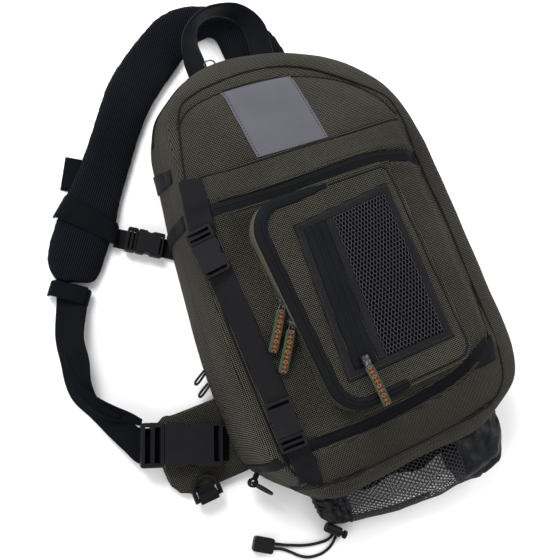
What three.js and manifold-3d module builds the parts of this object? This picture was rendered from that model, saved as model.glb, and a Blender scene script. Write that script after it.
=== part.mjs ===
// A fishing tackle sling bag, lying on its back with its straps laid out beside it.
// X runs across the bag, Y towards its top, Z out of its front. The origin is the middle of the back panel,
// and z = 0 is the surface that the bag lies on. All lengths are in millimetres.
import * as THREE from "three";
import { mergeVertices } from "three/addons/utils/BufferGeometryUtils.js";
import Module from "manifold-3d";

const wasm = await Module();
wasm.setup();

// Driving dimensions
const BODY_WIDTH = 302;
const BODY_HEIGHT = 448;
const BODY_DEPTH = 112; // from the surface to the front of the front compartment
const GAP = 0.3; // running clearance between pieces that touch
const SHELL_WALL = 3; // padded nylon
const BACK_PANEL_THICKNESS = 6;
const BACK_PANEL_INSET = 5;
const BACK_EDGE_ROUND = 5;
const DIVIDER_LEVEL = 58; // where the rear compartment ends and the front one begins
const FRONT_EDGE_ROUND = 28;
const FRONT_LAYER_LEVEL = 66; // trim on the front stops above this
const ZIP_SLOT = 5;
const ZIP_TAPE_WIDTH = 12;
const ZIP_TAPE_THICKNESS = 1.2;
const REAR_ZIP_LEVEL = 38;
const REAR_ZIP_START = 0.73; // share of half the height where the rear zip ends on both sides
const POCKET_RISE = 23; // how far the front pocket stands off the bag
const POCKET_WALL = 2.5;
const POCKET_EDGE_ROUND = 6;
const POCKET_ZIP_WIDTH = 9;
const POCKET_ROUND = 32; // largest corner radius of the pocket
const WINDOW_ZIP_WIDTH = 24;
const PATCH_THICKNESS = 0.8;
const NET_THICKNESS = 1.2;
const BINDING_THICKNESS = 1.6;
const BINDING_WIDTH = 8;
const NET_ROWS = 8;
const NET_COLUMNS = 4;
const NET_STRAND = 2.6;
const WEBBING = 20; // compression and stabiliser webbing
const WEBBING_THICKNESS = 1.6;
const BUCKLE_LENGTH = 46;
const BUCKLE_SIDE = 2.6; // plastic each side of the webbing
const BUCKLE_THICKNESS = 8;
const WIDE_WEBBING = 34; // shoulder webbing
const WIDE_BUCKLE_LENGTH = 80;
const WIDE_BUCKLE_SIDE = 4.2;
const WIDE_BUCKLE_THICKNESS = 10;
const WIDE_BUCKLE_TO_BAG = 2.4; // clearance between the buckle and the side of the bag
const STAB_BUCKLE_LENGTH = 38;
const STAB_LEAD = 9; // webbing before the buckle
const PAD_THICKNESS = 12; // shoulder strap and waist wing
const WING_ROUND = 26; // largest corner radius of the waist wing
const HANDLE_WEBBING = 27;
const HANDLE_THICKNESS = 2.6;
const TAPE_PULL_LENGTH = 40;
const TAPE_PULL_WIDTH = 9;
const TAPE_PULL_THICKNESS = 1.5;
const SLIDER = { length: 9, width: 6.4, height: 3 };
const PULL_FALL = new THREE.Vector3(-0.54, -0.83, -0.13).normalize(); // how the pocket's pull tapes hang
const PULL_OFF_SIDE = 3.3; // from the pocket's side to the middle of a pull tape's end
const PULL_OFF_FACE = 1;
const D_RING_WIDTH = 29;
const D_RING_REACH = 24;
const D_RING_WIRE = 4;
const ROUND_RING_RADIUS = 11;
const ROUND_RING_WIRE = 3;
const LOOP_WALL = 1.8;
const PIVOT_CLEARANCE = 0.5;
const POUCH_DEPTH = 46;
const POUCH_WALL = 2;
const CORD_DIAMETER = 3;
const CORD_SIDES = 8;
const CORD_LOCK_LENGTH = 17;
const CORD_LOCK_DIAMETER = 10;
const CORD_LOCK_BORE = 9; // depth of the bore that the button slides in
const BUTTON_HEAD = 2.5;
const BUTTON_SPACE = 0.5; // left under the button when it is pressed
const BUTTON_STROKE = 3.5;
const CORD_END = { length: 21, width: 15, height: 8, round: 3 };
const CORD_LIFT = 0.5; // over the surface
const REAR_LOOP = { radius: 6, wire: 1, flatten: 0.7 }; // cord loop on the rear zip
const SIDE_LOOP = { level: 16, wire: 3.4, out: 13, lean: 9, drop: 4 };
const RING_SLEEVE_HEIGHT = 8;
const PLASTIC_BEVEL = 0.7;

const HALF_WIDTH = BODY_WIDTH / 2;
const HALF_HEIGHT = BODY_HEIGHT / 2;
const OUTLINE_STEPS = 40;

// Finishes
const finish = (color, roughness, metalness = 0) =>
  new THREE.MeshStandardMaterial({ color, roughness, metalness });
const OLIVE = finish(0x46443a, 0.92);
const CHARCOAL = finish(0x2a2b30, 0.85);
const PAD_BLACK = finish(0x0f1218, 0.95);
const NYLON = finish(0x1b1c22, 0.6);
const REFLECTIVE = finish(0x767680, 0.45);
const PLASTIC = finish(0x303136, 0.4);
const METAL = finish(0x55565a, 0.35, 0.8);
const WOVEN = finish(0x9a3a28, 0.8);

const V = (x, y, z = 0) => new THREE.Vector3(x, y, z);
// A place given as shares of half the bag's width and height.
const at = (x, y, z = 0) => V(x * HALF_WIDTH, y * HALF_HEIGHT, z);

const bag = new THREE.Group();

// Solids

function solidFromFaces(points, faces) {
  let volume = 0;
  for (const [a, b, c] of faces) {
    volume += points[a].dot(new THREE.Vector3().crossVectors(points[b], points[c]));
  }
  const outward = volume > 0 ? faces : faces.map(([a, b, c]) => [a, c, b]);
  return new wasm.Manifold(
    new wasm.Mesh({
      numProp: 3,
      vertProperties: new Float32Array(points.flatMap((p) => [p.x, p.y, p.z])),
      triVerts: new Uint32Array(outward.flat()),
    }),
  );
}

function solidOf(geometry) {
  const bare = geometry.clone();
  bare.deleteAttribute("normal");
  bare.deleteAttribute("uv");
  const merged = mergeVertices(bare, 1e-4);
  return new wasm.Manifold(
    new wasm.Mesh({
      numProp: 3,
      vertProperties: new Float32Array(merged.attributes.position.array),
      triVerts: new Uint32Array(merged.index.array),
    }),
  );
}

function geometryOf(solid) {
  const mesh = solid.getMesh();
  const geometry = new THREE.BufferGeometry();
  const position = new Float32Array(mesh.numVert * 3);
  for (let i = 0; i < mesh.numVert; i++) {
    for (let k = 0; k < 3; k++) position[3 * i + k] = mesh.vertProperties[i * mesh.numProp + k];
  }
  geometry.setAttribute("position", new THREE.BufferAttribute(position, 3));
  geometry.setIndex(new THREE.BufferAttribute(new Uint32Array(mesh.triVerts), 1));
  geometry.computeVertexNormals();
  return geometry;
}

function add(name, solid, material, parent = bag) {
  const mesh = new THREE.Mesh(geometryOf(solid), material);
  mesh.name = name;
  parent.add(mesh);
  return mesh;
}

// Fills a ring of points, along its own direction or against it.
function capFaces(ring, first, along) {
  const normal = V(0, 0, 0);
  ring.forEach((p, i) => normal.add(new THREE.Vector3().crossVectors(p, ring[(i + 1) % ring.length])));
  const n = normal.normalize();
  const u = (Math.abs(n.z) > 0.6 ? V(1, 0, 0) : V(0, 0, 1)).projectOnPlane(n).normalize();
  const v = new THREE.Vector3().crossVectors(n, u);
  const flat = ring.map((p) => new THREE.Vector2(p.dot(u), p.dot(v)));
  return THREE.ShapeUtils.triangulateShape(flat, []).map(([a, b, c]) => {
    const turn = flat[b].clone().sub(flat[a]).cross(flat[c].clone().sub(flat[a]));
    const forward = turn > 0 === along;
    return forward ? [first + a, first + b, first + c] : [first + a, first + c, first + b];
  });
}

// Joins rings of points, all with the same count, into one closed solid.
function loft(rings) {
  const count = rings[0].length;
  const faces = [];
  for (let r = 0; r + 1 < rings.length; r++) {
    for (let i = 0; i < count; i++) {
      const a = r * count + i;
      const b = r * count + ((i + 1) % count);
      faces.push([a, b, b + count], [a, b + count, a + count]);
    }
  }
  faces.push(...capFaces(rings[0], 0, false));
  faces.push(...capFaces(rings.at(-1), (rings.length - 1) * count, true));
  return solidFromFaces(rings.flat(), faces);
}

const box = (from, to) =>
  solidOf(
    new THREE.BoxGeometry(to.x - from.x, to.y - from.y, to.z - from.z).translate(
      (from.x + to.x) / 2,
      (from.y + to.y) / 2,
      (from.z + to.z) / 2,
    ),
  );

function prism(points, bottom, top) {
  const shape = new THREE.Shape(points.map((p) => new THREE.Vector2(p.x, p.y)));
  const geometry = new THREE.ExtrudeGeometry(shape, { depth: top - bottom, bevelEnabled: false });
  return solidOf(geometry.translate(0, 0, bottom));
}

const smoothed = (points, steps) =>
  new THREE.CatmullRomCurve3(points, false, "centripetal").getPoints(steps);
const mix = (a, b, share) => a.clone().lerp(b, share);

// Reads a table of [place, value] rows by straight lines between them.
function profile(rows, place) {
  const next = rows.findIndex(([p]) => p >= place);
  if (next === 0) return rows[0][1];
  if (next < 0) return rows.at(-1)[1];
  const [p0, v0] = rows[next - 1];
  const [p1, v1] = rows[next];
  return v0 + ((v1 - v0) * (place - p0)) / (p1 - p0);
}

// Bag body
// Each row is a point of the bag's widest outline (x, y) and of the seam round its front panel (fx, fy),
// as shares of half the width and half the height, from the middle of the bottom round to the right.
const OUTLINE = [
  { x: 0, y: -1, fx: 0, fy: -0.92 },
  { x: 0.5, y: -1, fx: 0.4, fy: -0.92 },
  { x: 0.69, y: -0.95, fx: 0.61, fy: -0.9 },
  { x: 0.91, y: -0.86, fx: 0.74, fy: -0.83 },
  { x: 0.99, y: -0.72, fx: 0.79, fy: -0.69 },
  { x: 1, y: -0.43, fx: 0.8, fy: -0.43 },
  { x: 1, y: -0.05, fx: 0.81, fy: -0.05 },
  { x: 0.99, y: 0.28, fx: 0.8, fy: 0.25 },
  { x: 0.98, y: 0.5, fx: 0.84, fy: 0.45 },
  { x: 0.9, y: 0.67, fx: 0.81, fy: 0.57 },
  { x: 0.76, y: 0.79, fx: 0.65, fy: 0.68 },
  { x: 0.58, y: 0.88, fx: 0.5, fy: 0.76 },
  { x: 0.38, y: 0.94, fx: 0.33, fy: 0.83 },
  { x: 0.17, y: 0.98, fx: 0.13, fy: 0.87 },
  { x: -0.08, y: 1, fx: -0.1, fy: 0.88 },
  { x: -0.27, y: 0.99, fx: -0.3, fy: 0.87 },
  { x: -0.42, y: 0.96, fx: -0.46, fy: 0.85 },
  { x: -0.56, y: 0.9, fx: -0.59, fy: 0.81 },
  { x: -0.7, y: 0.82, fx: -0.65, fy: 0.74 },
  { x: -0.78, y: 0.71, fx: -0.69, fy: 0.66 },
  { x: -0.82, y: 0.54, fx: -0.75, fy: 0.53 },
  { x: -0.88, y: 0.31, fx: -0.83, fy: 0.31 },
  { x: -0.94, y: 0.01, fx: -0.87, fy: 0.01 },
  { x: -0.985, y: -0.25, fx: -0.885, fy: -0.25 },
  { x: -1, y: -0.52, fx: -0.885, fy: -0.52 },
  { x: -0.99, y: -0.7, fx: -0.88, fy: -0.7 },
  { x: -0.91, y: -0.8, fx: -0.84, fy: -0.81 },
  { x: -0.775, y: -0.9, fx: -0.74, fy: -0.88 },
  { x: -0.63, y: -0.985, fx: -0.56, fy: -0.92 },
  { x: -0.3, y: -1, fx: -0.28, fy: -0.92 },
];
// Depth of the front seam and of the front panel, as shares of the body depth, by share of half the height
const SEAM_DEPTH = [
  [-0.92, 0.84], [-0.69, 0.89], [0.28, 0.89], [0.46, 0.83], [0.82, 0.72], [1, 0.71],
];
const FACE_DEPTH = [
  [-0.92, 0.855], [-0.8, 0.93], [-0.7, 0.99], [-0.6, 1], [0.31, 1], [0.36, 0.965], [0.42, 0.9],
  [0.47, 0.865], [0.82, 0.765], [0.9, 0.74],
];
const FACE_RINGS = [0.07, 0.18, 0.45, 0.75, 1];
const LINING_RINGS = [0.25, 1];
const FACE_CROWN = 0.18; // share of the way in by which the panel has risen from its seam
const FACE_CORE = { x: 0.1, y: 0.35 }; // the innermost ring, as shares of the seam

const closedCurve = (points) => new THREE.CatmullRomCurve3(points, true, "centripetal");
const widestCurve = closedCurve(OUTLINE.map((row) => at(row.x, row.y)));
const seamCurve = closedCurve(OUTLINE.map((row) => at(row.fx, row.fy)));

function inwardAt(curve, t) {
  const tangent = curve.getTangent(t);
  return V(-tangent.y, tangent.x);
}

function planRing(curve, inset, z) {
  return Array.from({ length: OUTLINE_STEPS }, (_, i) => {
    const t = i / OUTLINE_STEPS;
    return curve.getPoint(t).addScaledVector(inwardAt(curve, t), inset).setZ(z);
  });
}

const BACK_LEVEL = BACK_PANEL_THICKNESS + GAP;

// The bag's outer form, grown by a clearance or shrunk by a wall.
function bodySolid(grow, faceRings = FACE_RINGS) {
  const seamZ = (p) => profile(SEAM_DEPTH, p.y / HALF_HEIGHT) * BODY_DEPTH;
  const faceZ = (p) => profile(FACE_DEPTH, p.y / HALF_HEIGHT) * BODY_DEPTH;
  const widest = planRing(widestCurve, 0, 0);
  const seam = planRing(seamCurve, 0, 0);
  const inward = widest.map((_, i) => inwardAt(widestCurve, i / OUTLINE_STEPS));
  const rings = [
    planRing(widestCurve, BACK_EDGE_ROUND - grow, BACK_LEVEL - grow),
    planRing(widestCurve, -grow, BACK_LEVEL + BACK_EDGE_ROUND),
  ];
  for (const degrees of [0, 30, 60, 90]) {
    const angle = THREE.MathUtils.degToRad(degrees);
    rings.push(
      widest.map((p, i) => {
        const turned = mix(p, seam[i], 1 - Math.cos(angle));
        turned.addScaledVector(inward[i], -grow * Math.cos(angle));
        const z = seamZ(seam[i]) - FRONT_EDGE_ROUND * (1 - Math.sin(angle));
        return turned.setZ(z + grow * Math.sin(angle));
      }),
    );
  }
  for (const share of faceRings) {
    const rise = THREE.MathUtils.smoothstep(share, 0, FACE_CROWN);
    rings.push(
      seam.map((p) => {
        const q = mix(p, V(p.x * FACE_CORE.x, p.y * FACE_CORE.y), share);
        return q.setZ(seamZ(q) + (faceZ(q) - seamZ(q)) * rise + grow);
      }),
    );
  }
  return loft(rings);
}

const body = bodySolid(0);
const clearBody = bodySolid(GAP);
const cavity = bodySolid(-SHELL_WALL, LINING_RINGS);
const bodySurface = new THREE.Mesh(geometryOf(body), OLIVE);
bodySurface.material.side = THREE.DoubleSide;
const FAR = 2 * BODY_HEIGHT;
const caster = new THREE.Raycaster();

// Height of the bag's front above a place, and the side wall's x at a height on the wearer's left.
function frontHeight(x, y) {
  caster.set(V(x, y, FAR), V(0, 0, -1));
  const hit = caster.intersectObject(bodySurface)[0];
  return hit ? hit.point.z : DIVIDER_LEVEL;
}
function leftWall(y, z) {
  caster.set(V(-FAR, y, z), V(1, 0, 0));
  return caster.intersectObject(bodySurface)[0].point.x;
}

function topWall(x, z) {
  caster.set(V(x, FAR, z), V(0, -1, 0));
  return caster.intersectObject(bodySurface)[0].point.y;
}

const below = (z) => box(V(-FAR, -FAR, -FAR), V(FAR, FAR, z));
const above = (z) => box(V(-FAR, -FAR, z), V(FAR, FAR, FAR));

// A strip's left and right edges along a line of points in plan
function stripEdges(points, width) {
  return points.map((p, i) => {
    const before = points[Math.max(i - 1, 0)];
    const after = points[Math.min(i + 1, points.length - 1)];
    const along = after.clone().sub(before).setZ(0).normalize();
    const side = V(along.y, -along.x).multiplyScalar(width / 2);
    return { left: p.clone().sub(side), right: p.clone().add(side) };
  });
}

// A thin sheet that lies on the bag's front, inside the outline that rows of edge points give.
const outlineOf = (edges) => [...edges.map((e) => e.left), ...edges.map((e) => e.right).reverse()];
const frontLayers = new Map();
function sheetOnFront(edges, thickness) {
  if (!frontLayers.has(thickness)) {
    const layer = bodySolid(GAP + thickness).subtract(clearBody).intersect(above(FRONT_LAYER_LEVEL));
    frontLayers.set(thickness, layer);
  }
  return frontLayers.get(thickness).intersect(prism(outlineOf(edges), 0, FAR));
}

const stripOnFront = (points, width, thickness) => sheetOnFront(stripEdges(points, width), thickness);

const slotThrough = (points, width, bottom, top) =>
  prism(outlineOf(stripEdges(points, width)), bottom, top);

// The zips of the front compartment, as smile curves from the left corner to the right seam
const ZIP_STEPS = 8;
const zipLine = (rows) => smoothed(rows.map(([x, y]) => at(x, y)), ZIP_STEPS);
const UPPER_ZIP = zipLine([[-0.7, 0.32], [-0.28, 0.315], [0.16, 0.32], [0.46, 0.315], [0.67, 0.275]]);
const LOWER_ZIP = zipLine([[-0.7, -0.73], [-0.3, -0.775], [0.12, -0.765], [0.42, -0.735], [0.7, -0.65]]);

function bodyShells() {
  const slotLevel = (side) => REAR_ZIP_LEVEL + (side * ZIP_SLOT) / 2;
  const rearSlot = box(V(-FAR, HALF_HEIGHT * REAR_ZIP_START, slotLevel(-1)), V(FAR, FAR, slotLevel(1)));
  const rear = body
    .intersect(below(DIVIDER_LEVEL))
    .subtract(cavity.intersect(below(DIVIDER_LEVEL - SHELL_WALL)))
    .subtract(rearSlot);
  const floor = DIVIDER_LEVEL + GAP;
  let front = body.intersect(above(floor)).subtract(cavity.intersect(above(floor + SHELL_WALL)));
  const slotBottom = BODY_DEPTH - 4 * SHELL_WALL - FRONT_EDGE_ROUND / 2;
  for (const zip of [UPPER_ZIP, LOWER_ZIP]) {
    front = front.subtract(slotThrough(zip.slice(1, -1), ZIP_SLOT, slotBottom, FAR));
  }
  add("rear_shell", rear, OLIVE);
  add("front_shell", front, OLIVE);
  add("upper_zip_tape", stripOnFront(UPPER_ZIP, ZIP_TAPE_WIDTH, ZIP_TAPE_THICKNESS), CHARCOAL);
  add("lower_zip_tape", stripOnFront(LOWER_ZIP, ZIP_TAPE_WIDTH - 2, ZIP_TAPE_THICKNESS), CHARCOAL);
}

function backPanel() {
  add(
    "back_panel",
    loft([
      planRing(widestCurve, BACK_PANEL_INSET, 0),
      planRing(widestCurve, BACK_PANEL_INSET, BACK_PANEL_THICKNESS),
    ]),
    PAD_BLACK,
  );
}

// The rear zip runs round the top gusset, with a cord loop on its slider.
function rearZip() {
  const half = ZIP_TAPE_WIDTH / 2;
  const band = (inset, spread) =>
    loft([
      planRing(widestCurve, inset, REAR_ZIP_LEVEL - half - spread),
      planRing(widestCurve, inset, REAR_ZIP_LEVEL + half + spread),
    ]);
  const topPart = box(V(-FAR, HALF_HEIGHT * (REAR_ZIP_START - 0.01), 0), V(FAR, FAR, BODY_DEPTH));
  const tape = band(-GAP - ZIP_TAPE_THICKNESS, 0).subtract(band(-GAP, 1)).intersect(topPart);
  add("rear_zip_tape", tape, CHARCOAL);
  const rear = at(-0.16, 1);
  const wallAt = (side) => topWall(rear.x + (side * SLIDER.length) / 2, REAR_ZIP_LEVEL);
  const wall = Math.max(...[-1, 0, 1].map(wallAt));
  const outer = wall + 2 * GAP + ZIP_TAPE_THICKNESS;
  const slider = box(
    V(rear.x - SLIDER.length / 2, outer, REAR_ZIP_LEVEL - SLIDER.width / 2),
    V(rear.x + SLIDER.length / 2, outer + SLIDER.height, REAR_ZIP_LEVEL + SLIDER.width / 2),
  );
  const loop = solidOf(
    new THREE.TorusGeometry(REAR_LOOP.radius, REAR_LOOP.wire, 6, 14)
      .scale(1, REAR_LOOP.flatten, 1)
      .translate(
        rear.x - REAR_LOOP.radius / 2,
        outer + SLIDER.height + REAR_LOOP.radius * REAR_LOOP.flatten - 1.6 * REAR_LOOP.wire,
        REAR_ZIP_LEVEL,
      ),
  );
  add("rear_zip_pull", slider.add(loop), PLASTIC);
}

// The grey reflective panel in the middle of the top
function reflectivePatch() {
  const edges = [
    { left: at(-0.305, 0.815), right: at(0.205, 0.805) },
    { left: at(-0.295, 0.7), right: at(0.22, 0.69) },
    { left: at(-0.28, 0.58), right: at(0.24, 0.575) },
    { left: at(-0.265, 0.482), right: at(0.258, 0.473) },
  ];
  add("reflective_patch", sheetOnFront(edges, PATCH_THICKNESS), REFLECTIVE);
}

// Front pocket
// Corners of the pocket, as shares of half the width and height, with the radius of each
const POCKET = [
  { x: -0.5, y: -0.66, radius: POCKET_ROUND },
  { x: 0.485, y: -0.645, radius: POCKET_ROUND * 0.5625 },
  { x: 0.44, y: 0.25, radius: POCKET_ROUND * 0.375 },
  { x: -0.58, y: 0.25, radius: POCKET_ROUND * 0.9375 },
];
const CORNER_STEPS = 4;
const POCKET_TOP = BODY_DEPTH + POCKET_RISE;

// An outline of straight sides and round corners, moved outwards by a margin.
function roundedOutline(corners, margin) {
  return corners.flatMap((corner, i) => {
    const p = at(corner.x, corner.y);
    const before = at(corners.at(i - 1).x, corners.at(i - 1).y);
    const after = at(corners[(i + 1) % corners.length].x, corners[(i + 1) % corners.length].y);
    const a = before.sub(p).normalize();
    const b = after.sub(p).normalize();
    const half = a.angleTo(b) / 2;
    const centre = p.clone().addScaledVector(a.clone().add(b).normalize(), corner.radius / Math.sin(half));
    const from = V(a.y, -a.x).negate();
    const start = Math.atan2(from.y, from.x);
    const sweep = Math.PI - 2 * half;
    return Array.from({ length: CORNER_STEPS + 1 }, (_, k) => {
      const angle = start + (sweep * k) / CORNER_STEPS;
      const reach = corner.radius + margin;
      return centre.clone().add(V(Math.cos(angle), Math.sin(angle)).multiplyScalar(reach));
    });
  });
}

function pocketSolid(grow) {
  const ring = (inset, z) => roundedOutline(POCKET, grow - inset).map((p) => p.setZ(z));
  return loft([
    ring(0, DIVIDER_LEVEL),
    ring(0, POCKET_TOP - POCKET_EDGE_ROUND),
    ring(POCKET_EDGE_ROUND * 0.3, POCKET_TOP - POCKET_EDGE_ROUND * 0.3 + grow * 0.7),
    ring(POCKET_EDGE_ROUND, POCKET_TOP + grow),
  ]);
}

function frontPocket() {
  const zipLevel = BODY_DEPTH + POCKET_RISE * 0.42;
  const leftPart = (edge) => box(V(-FAR, -FAR, 0), V(at(edge, 0).x, FAR, FAR));
  const level = (half) => box(V(-FAR, -FAR, zipLevel - half), V(FAR, FAR, zipLevel + half));
  const slot = level(ZIP_SLOT / 2).intersect(leftPart(-0.06));
  const shell = pocketSolid(0)
    .subtract(clearBody)
    .subtract(pocketSolid(-POCKET_WALL).intersect(below(POCKET_TOP - POCKET_WALL)))
    .subtract(slot);
  add("pocket_shell", shell, OLIVE);
  const tape = pocketSolid(GAP + ZIP_TAPE_THICKNESS)
    .subtract(pocketSolid(GAP))
    .intersect(level(POCKET_ZIP_WIDTH / 2))
    .intersect(leftPart(-0.02));
  add("pocket_zip_tape", tape, CHARCOAL);
  return zipLevel;
}

// The net window on the pocket: a bound frame, a zip down its left side and the net.
const WINDOW = {
  topLeft: at(-0.335, 0.12),
  topRight: at(0.37, 0.16),
  bottomRight: at(0.385, -0.555),
  bottomLeft: at(-0.395, -0.55),
};
function windowPlace(across, along) {
  const top = mix(WINDOW.topLeft, WINDOW.topRight, across);
  const bottom = mix(WINDOW.bottomLeft, WINDOW.bottomRight, across);
  return mix(bottom, top, along);
}

function netWindow() {
  const width = WINDOW.topRight.distanceTo(WINDOW.topLeft);
  const height = WINDOW.topLeft.distanceTo(WINDOW.bottomLeft);
  const bindX = BINDING_WIDTH / width;
  const bindY = BINDING_WIDTH / height;
  const zipEnd = bindX + WINDOW_ZIP_WIDTH / width;
  const netStart = zipEnd + bindX;
  const clearX = GAP / width;
  const clearY = GAP / height;
  const quad = (x0, x1, y0, y1) => [
    windowPlace(x0, y0),
    windowPlace(x1, y0),
    windowPlace(x1, y1),
    windowPlace(x0, y1),
  ];
  const seat = POCKET_TOP + GAP;
  const hole = (x0, x1) => prism(quad(x0, x1, bindY, 1 - bindY), seat - 1, seat + BINDING_THICKNESS + 1);
  const frame = prism(quad(0, 1, 0, 1), seat, seat + BINDING_THICKNESS)
    .subtract(hole(bindX, zipEnd))
    .subtract(hole(netStart, 1 - bindX));
  add("mesh_binding", frame, CHARCOAL);

  const zipTape = quad(bindX + clearX, zipEnd - clearX, bindY + clearY, 1 - bindY - clearY);
  add("mesh_zip_tape", prism(zipTape, seat, seat + ZIP_TAPE_THICKNESS), CHARCOAL);

  const x0 = netStart + clearX;
  const x1 = 1 - bindX - clearX;
  const y0 = bindY + clearY;
  const y1 = 1 - bindY - clearY;
  const shape = new THREE.Shape(quad(x0, x1, y0, y1).map((p) => new THREE.Vector2(p.x, p.y)));
  const stepX = (x1 - x0) / NET_COLUMNS;
  const stepY = (y1 - y0) / NET_ROWS;
  const halfX = stepX / 2 - NET_STRAND / 2 / width;
  const halfY = stepY / 2 - NET_STRAND / 2 / height;
  for (let row = 0; row < NET_ROWS; row++) {
    for (let column = 0; column < NET_COLUMNS; column++) {
      const x = x0 + (column + 0.5) * stepX;
      const y = y0 + (row + 0.5) * stepY;
      const corners = [[x - halfX, y], [x, y - halfY], [x + halfX, y], [x, y + halfY]];
      const places = corners.map(([cx, cy]) => windowPlace(cx, cy));
      shape.holes.push(new THREE.Path(places.map((p) => new THREE.Vector2(p.x, p.y))));
    }
  }
  const net = new THREE.ExtrudeGeometry(shape, { depth: NET_THICKNESS, bevelEnabled: false });
  add("mesh_net", solidOf(net.translate(0, 0, seat)), PAD_BLACK);
  return windowPlace((bindX + zipEnd) / 2, bindY).setZ(seat + BINDING_THICKNESS + GAP);
}

// A flat ribbon between rows of left and right edge points; the thickness goes to the side that `up` names.
function ribbon(rows, thickness, steps, up = V(0, 0, 1)) {
  const lefts = steps ? smoothed(rows.map((r) => r.left), steps) : rows.map((r) => r.left);
  const rights = steps ? smoothed(rows.map((r) => r.right), steps) : rows.map((r) => r.right);
  const rings = lefts.map((left, i) => {
    const right = rights[i];
    const last = lefts.length - 1;
    const before = mix(lefts[Math.max(i - 1, 0)], rights[Math.max(i - 1, 0)], 0.5);
    const after = mix(lefts[Math.min(i + 1, last)], rights[Math.min(i + 1, last)], 0.5);
    const normal = new THREE.Vector3().crossVectors(right.clone().sub(left), after.sub(before)).normalize();
    if (normal.dot(up) < 0) normal.negate();
    const raise = (p) => p.clone().addScaledVector(normal, thickness);
    return [left, right, raise(right), raise(left)];
  });
  return loft(rings);
}

const slab = (from, to, width, thickness) => {
  const edges = stripEdges([from, to], width);
  return ribbon(edges, thickness, 0);
};

// A slider on a zip, standing off along a normal, and a woven tape that hangs from its end.
function zipPull(index, place, along, normal, hang, standOff) {
  const wide = new THREE.Vector3().crossVectors(normal, along).setLength(SLIDER.width / 2);
  const end = place.clone().addScaledVector(along, SLIDER.length);
  const edges = [place, end].map((p) => ({ left: p.clone().sub(wide), right: p.clone().add(wide) }));
  add(`zip_slider_${index}`, ribbon(edges, SLIDER.height, 0, normal), METAL);
  const start = end.clone().addScaledVector(hang, GAP).addScaledVector(normal, standOff);
  const side = V(hang.y, -hang.x).setLength(TAPE_PULL_WIDTH / 2);
  const rows = [0, 0.5, 1].map((share) => {
    const p = start.clone().addScaledVector(hang, share * TAPE_PULL_LENGTH);
    return { left: p.clone().sub(side), right: p.clone().add(side) };
  });
  add(`zip_pull_${index}`, ribbon(rows, TAPE_PULL_THICKNESS, 0), WOVEN);
}

// Side-release buckles
// In its own frame a buckle lies along +X from its ladder end, centred on Y, standing on z = 0.
const LADDER_SHARE = 0.28;
const NOTCH = { place: 0.6, half: 0.12, depth: 0.16 };
const TONGUE_SHARE = 0.62;

function roundRect(x0, x1, half, radius) {
  const shape = new THREE.Shape();
  shape.moveTo(x0 + radius, -half);
  shape.lineTo(x1 - radius, -half);
  shape.quadraticCurveTo(x1, -half, x1, -half + radius);
  shape.lineTo(x1, half - radius);
  shape.quadraticCurveTo(x1, half, x1 - radius, half);
  shape.lineTo(x0 + radius, half);
  shape.quadraticCurveTo(x0, half, x0, half - radius);
  shape.lineTo(x0, -half + radius);
  shape.quadraticCurveTo(x0, -half, x0 + radius, -half);
  return shape;
}

const moulded = (shape, bottom, top) =>
  solidOf(
    new THREE.ExtrudeGeometry(shape, {
      depth: top - bottom - 2 * PLASTIC_BEVEL,
      bevelEnabled: true,
      bevelThickness: PLASTIC_BEVEL,
      bevelSize: PLASTIC_BEVEL,
      bevelOffset: -PLASTIC_BEVEL,
      bevelSegments: 1,
      curveSegments: 3,
    }).translate(0, 0, bottom + PLASTIC_BEVEL),
  );

function buckle(names, length, webbing, side, thickness, frame) {
  const half = webbing / 2 + side;
  const ladder = length * LADDER_SHARE;
  const bar = side * 0.9;
  const slotLength = (ladder - 3 * bar) / 2;
  const slot = (x) => box(V(x, -webbing / 2, -1), V(x + slotLength, webbing / 2, thickness + 1));
  const tongueHalf = half * TONGUE_SHARE;
  const tongueZ = thickness * 0.3;
  const tongueEnd = length * (NOTCH.place + NOTCH.half);
  const tongue = (grow) =>
    box(
      V(ladder - 1, -tongueHalf - grow, tongueZ - grow),
      V(tongueEnd + grow, tongueHalf + grow, thickness - tongueZ + grow),
    );
  const latch = moulded(roundRect(0, ladder, half, side * 0.8), 0, thickness)
    .subtract(slot(bar))
    .subtract(slot(2 * bar + slotLength))
    .add(tongue(0));
  const notchRadius = (length * NOTCH.half) / Math.sin(1.1);
  const notchCentre = half - half * 2 * NOTCH.depth * 0.5 + notchRadius;
  const notch = (sign) =>
    solidOf(
      new THREE.CylinderGeometry(notchRadius, notchRadius, thickness + 2, 12)
        .rotateX(Math.PI / 2)
        .translate(length * NOTCH.place, sign * notchCentre, thickness / 2),
    );
  const tailSlot = box(
    V(length - bar - slotLength, -webbing / 2, -1),
    V(length - bar, webbing / 2, thickness + 1),
  );
  const shell = moulded(roundRect(ladder + GAP, length, half, side * 0.8), 0, thickness)
    .subtract(notch(1))
    .subtract(notch(-1))
    .subtract(tailSlot)
    .subtract(tongue(GAP));
  const group = new THREE.Group();
  frame.decompose(group.position, group.quaternion, group.scale);
  bag.add(group);
  add(names.latch, latch, PLASTIC, group);
  add(names.body, shell, PLASTIC, group);
}

// The frame of a flat piece from one point to another, its plane tipped sideways.
function frameAlong(from, to, tip) {
  const x = to.clone().sub(from).normalize();
  const flatSide = new THREE.Vector3().crossVectors(V(0, 0, 1), x).normalize();
  const y = flatSide.applyAxisAngle(x, tip);
  const z = new THREE.Vector3().crossVectors(x, y);
  return new THREE.Matrix4().makeBasis(x, y, z).setPosition(from);
}

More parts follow.
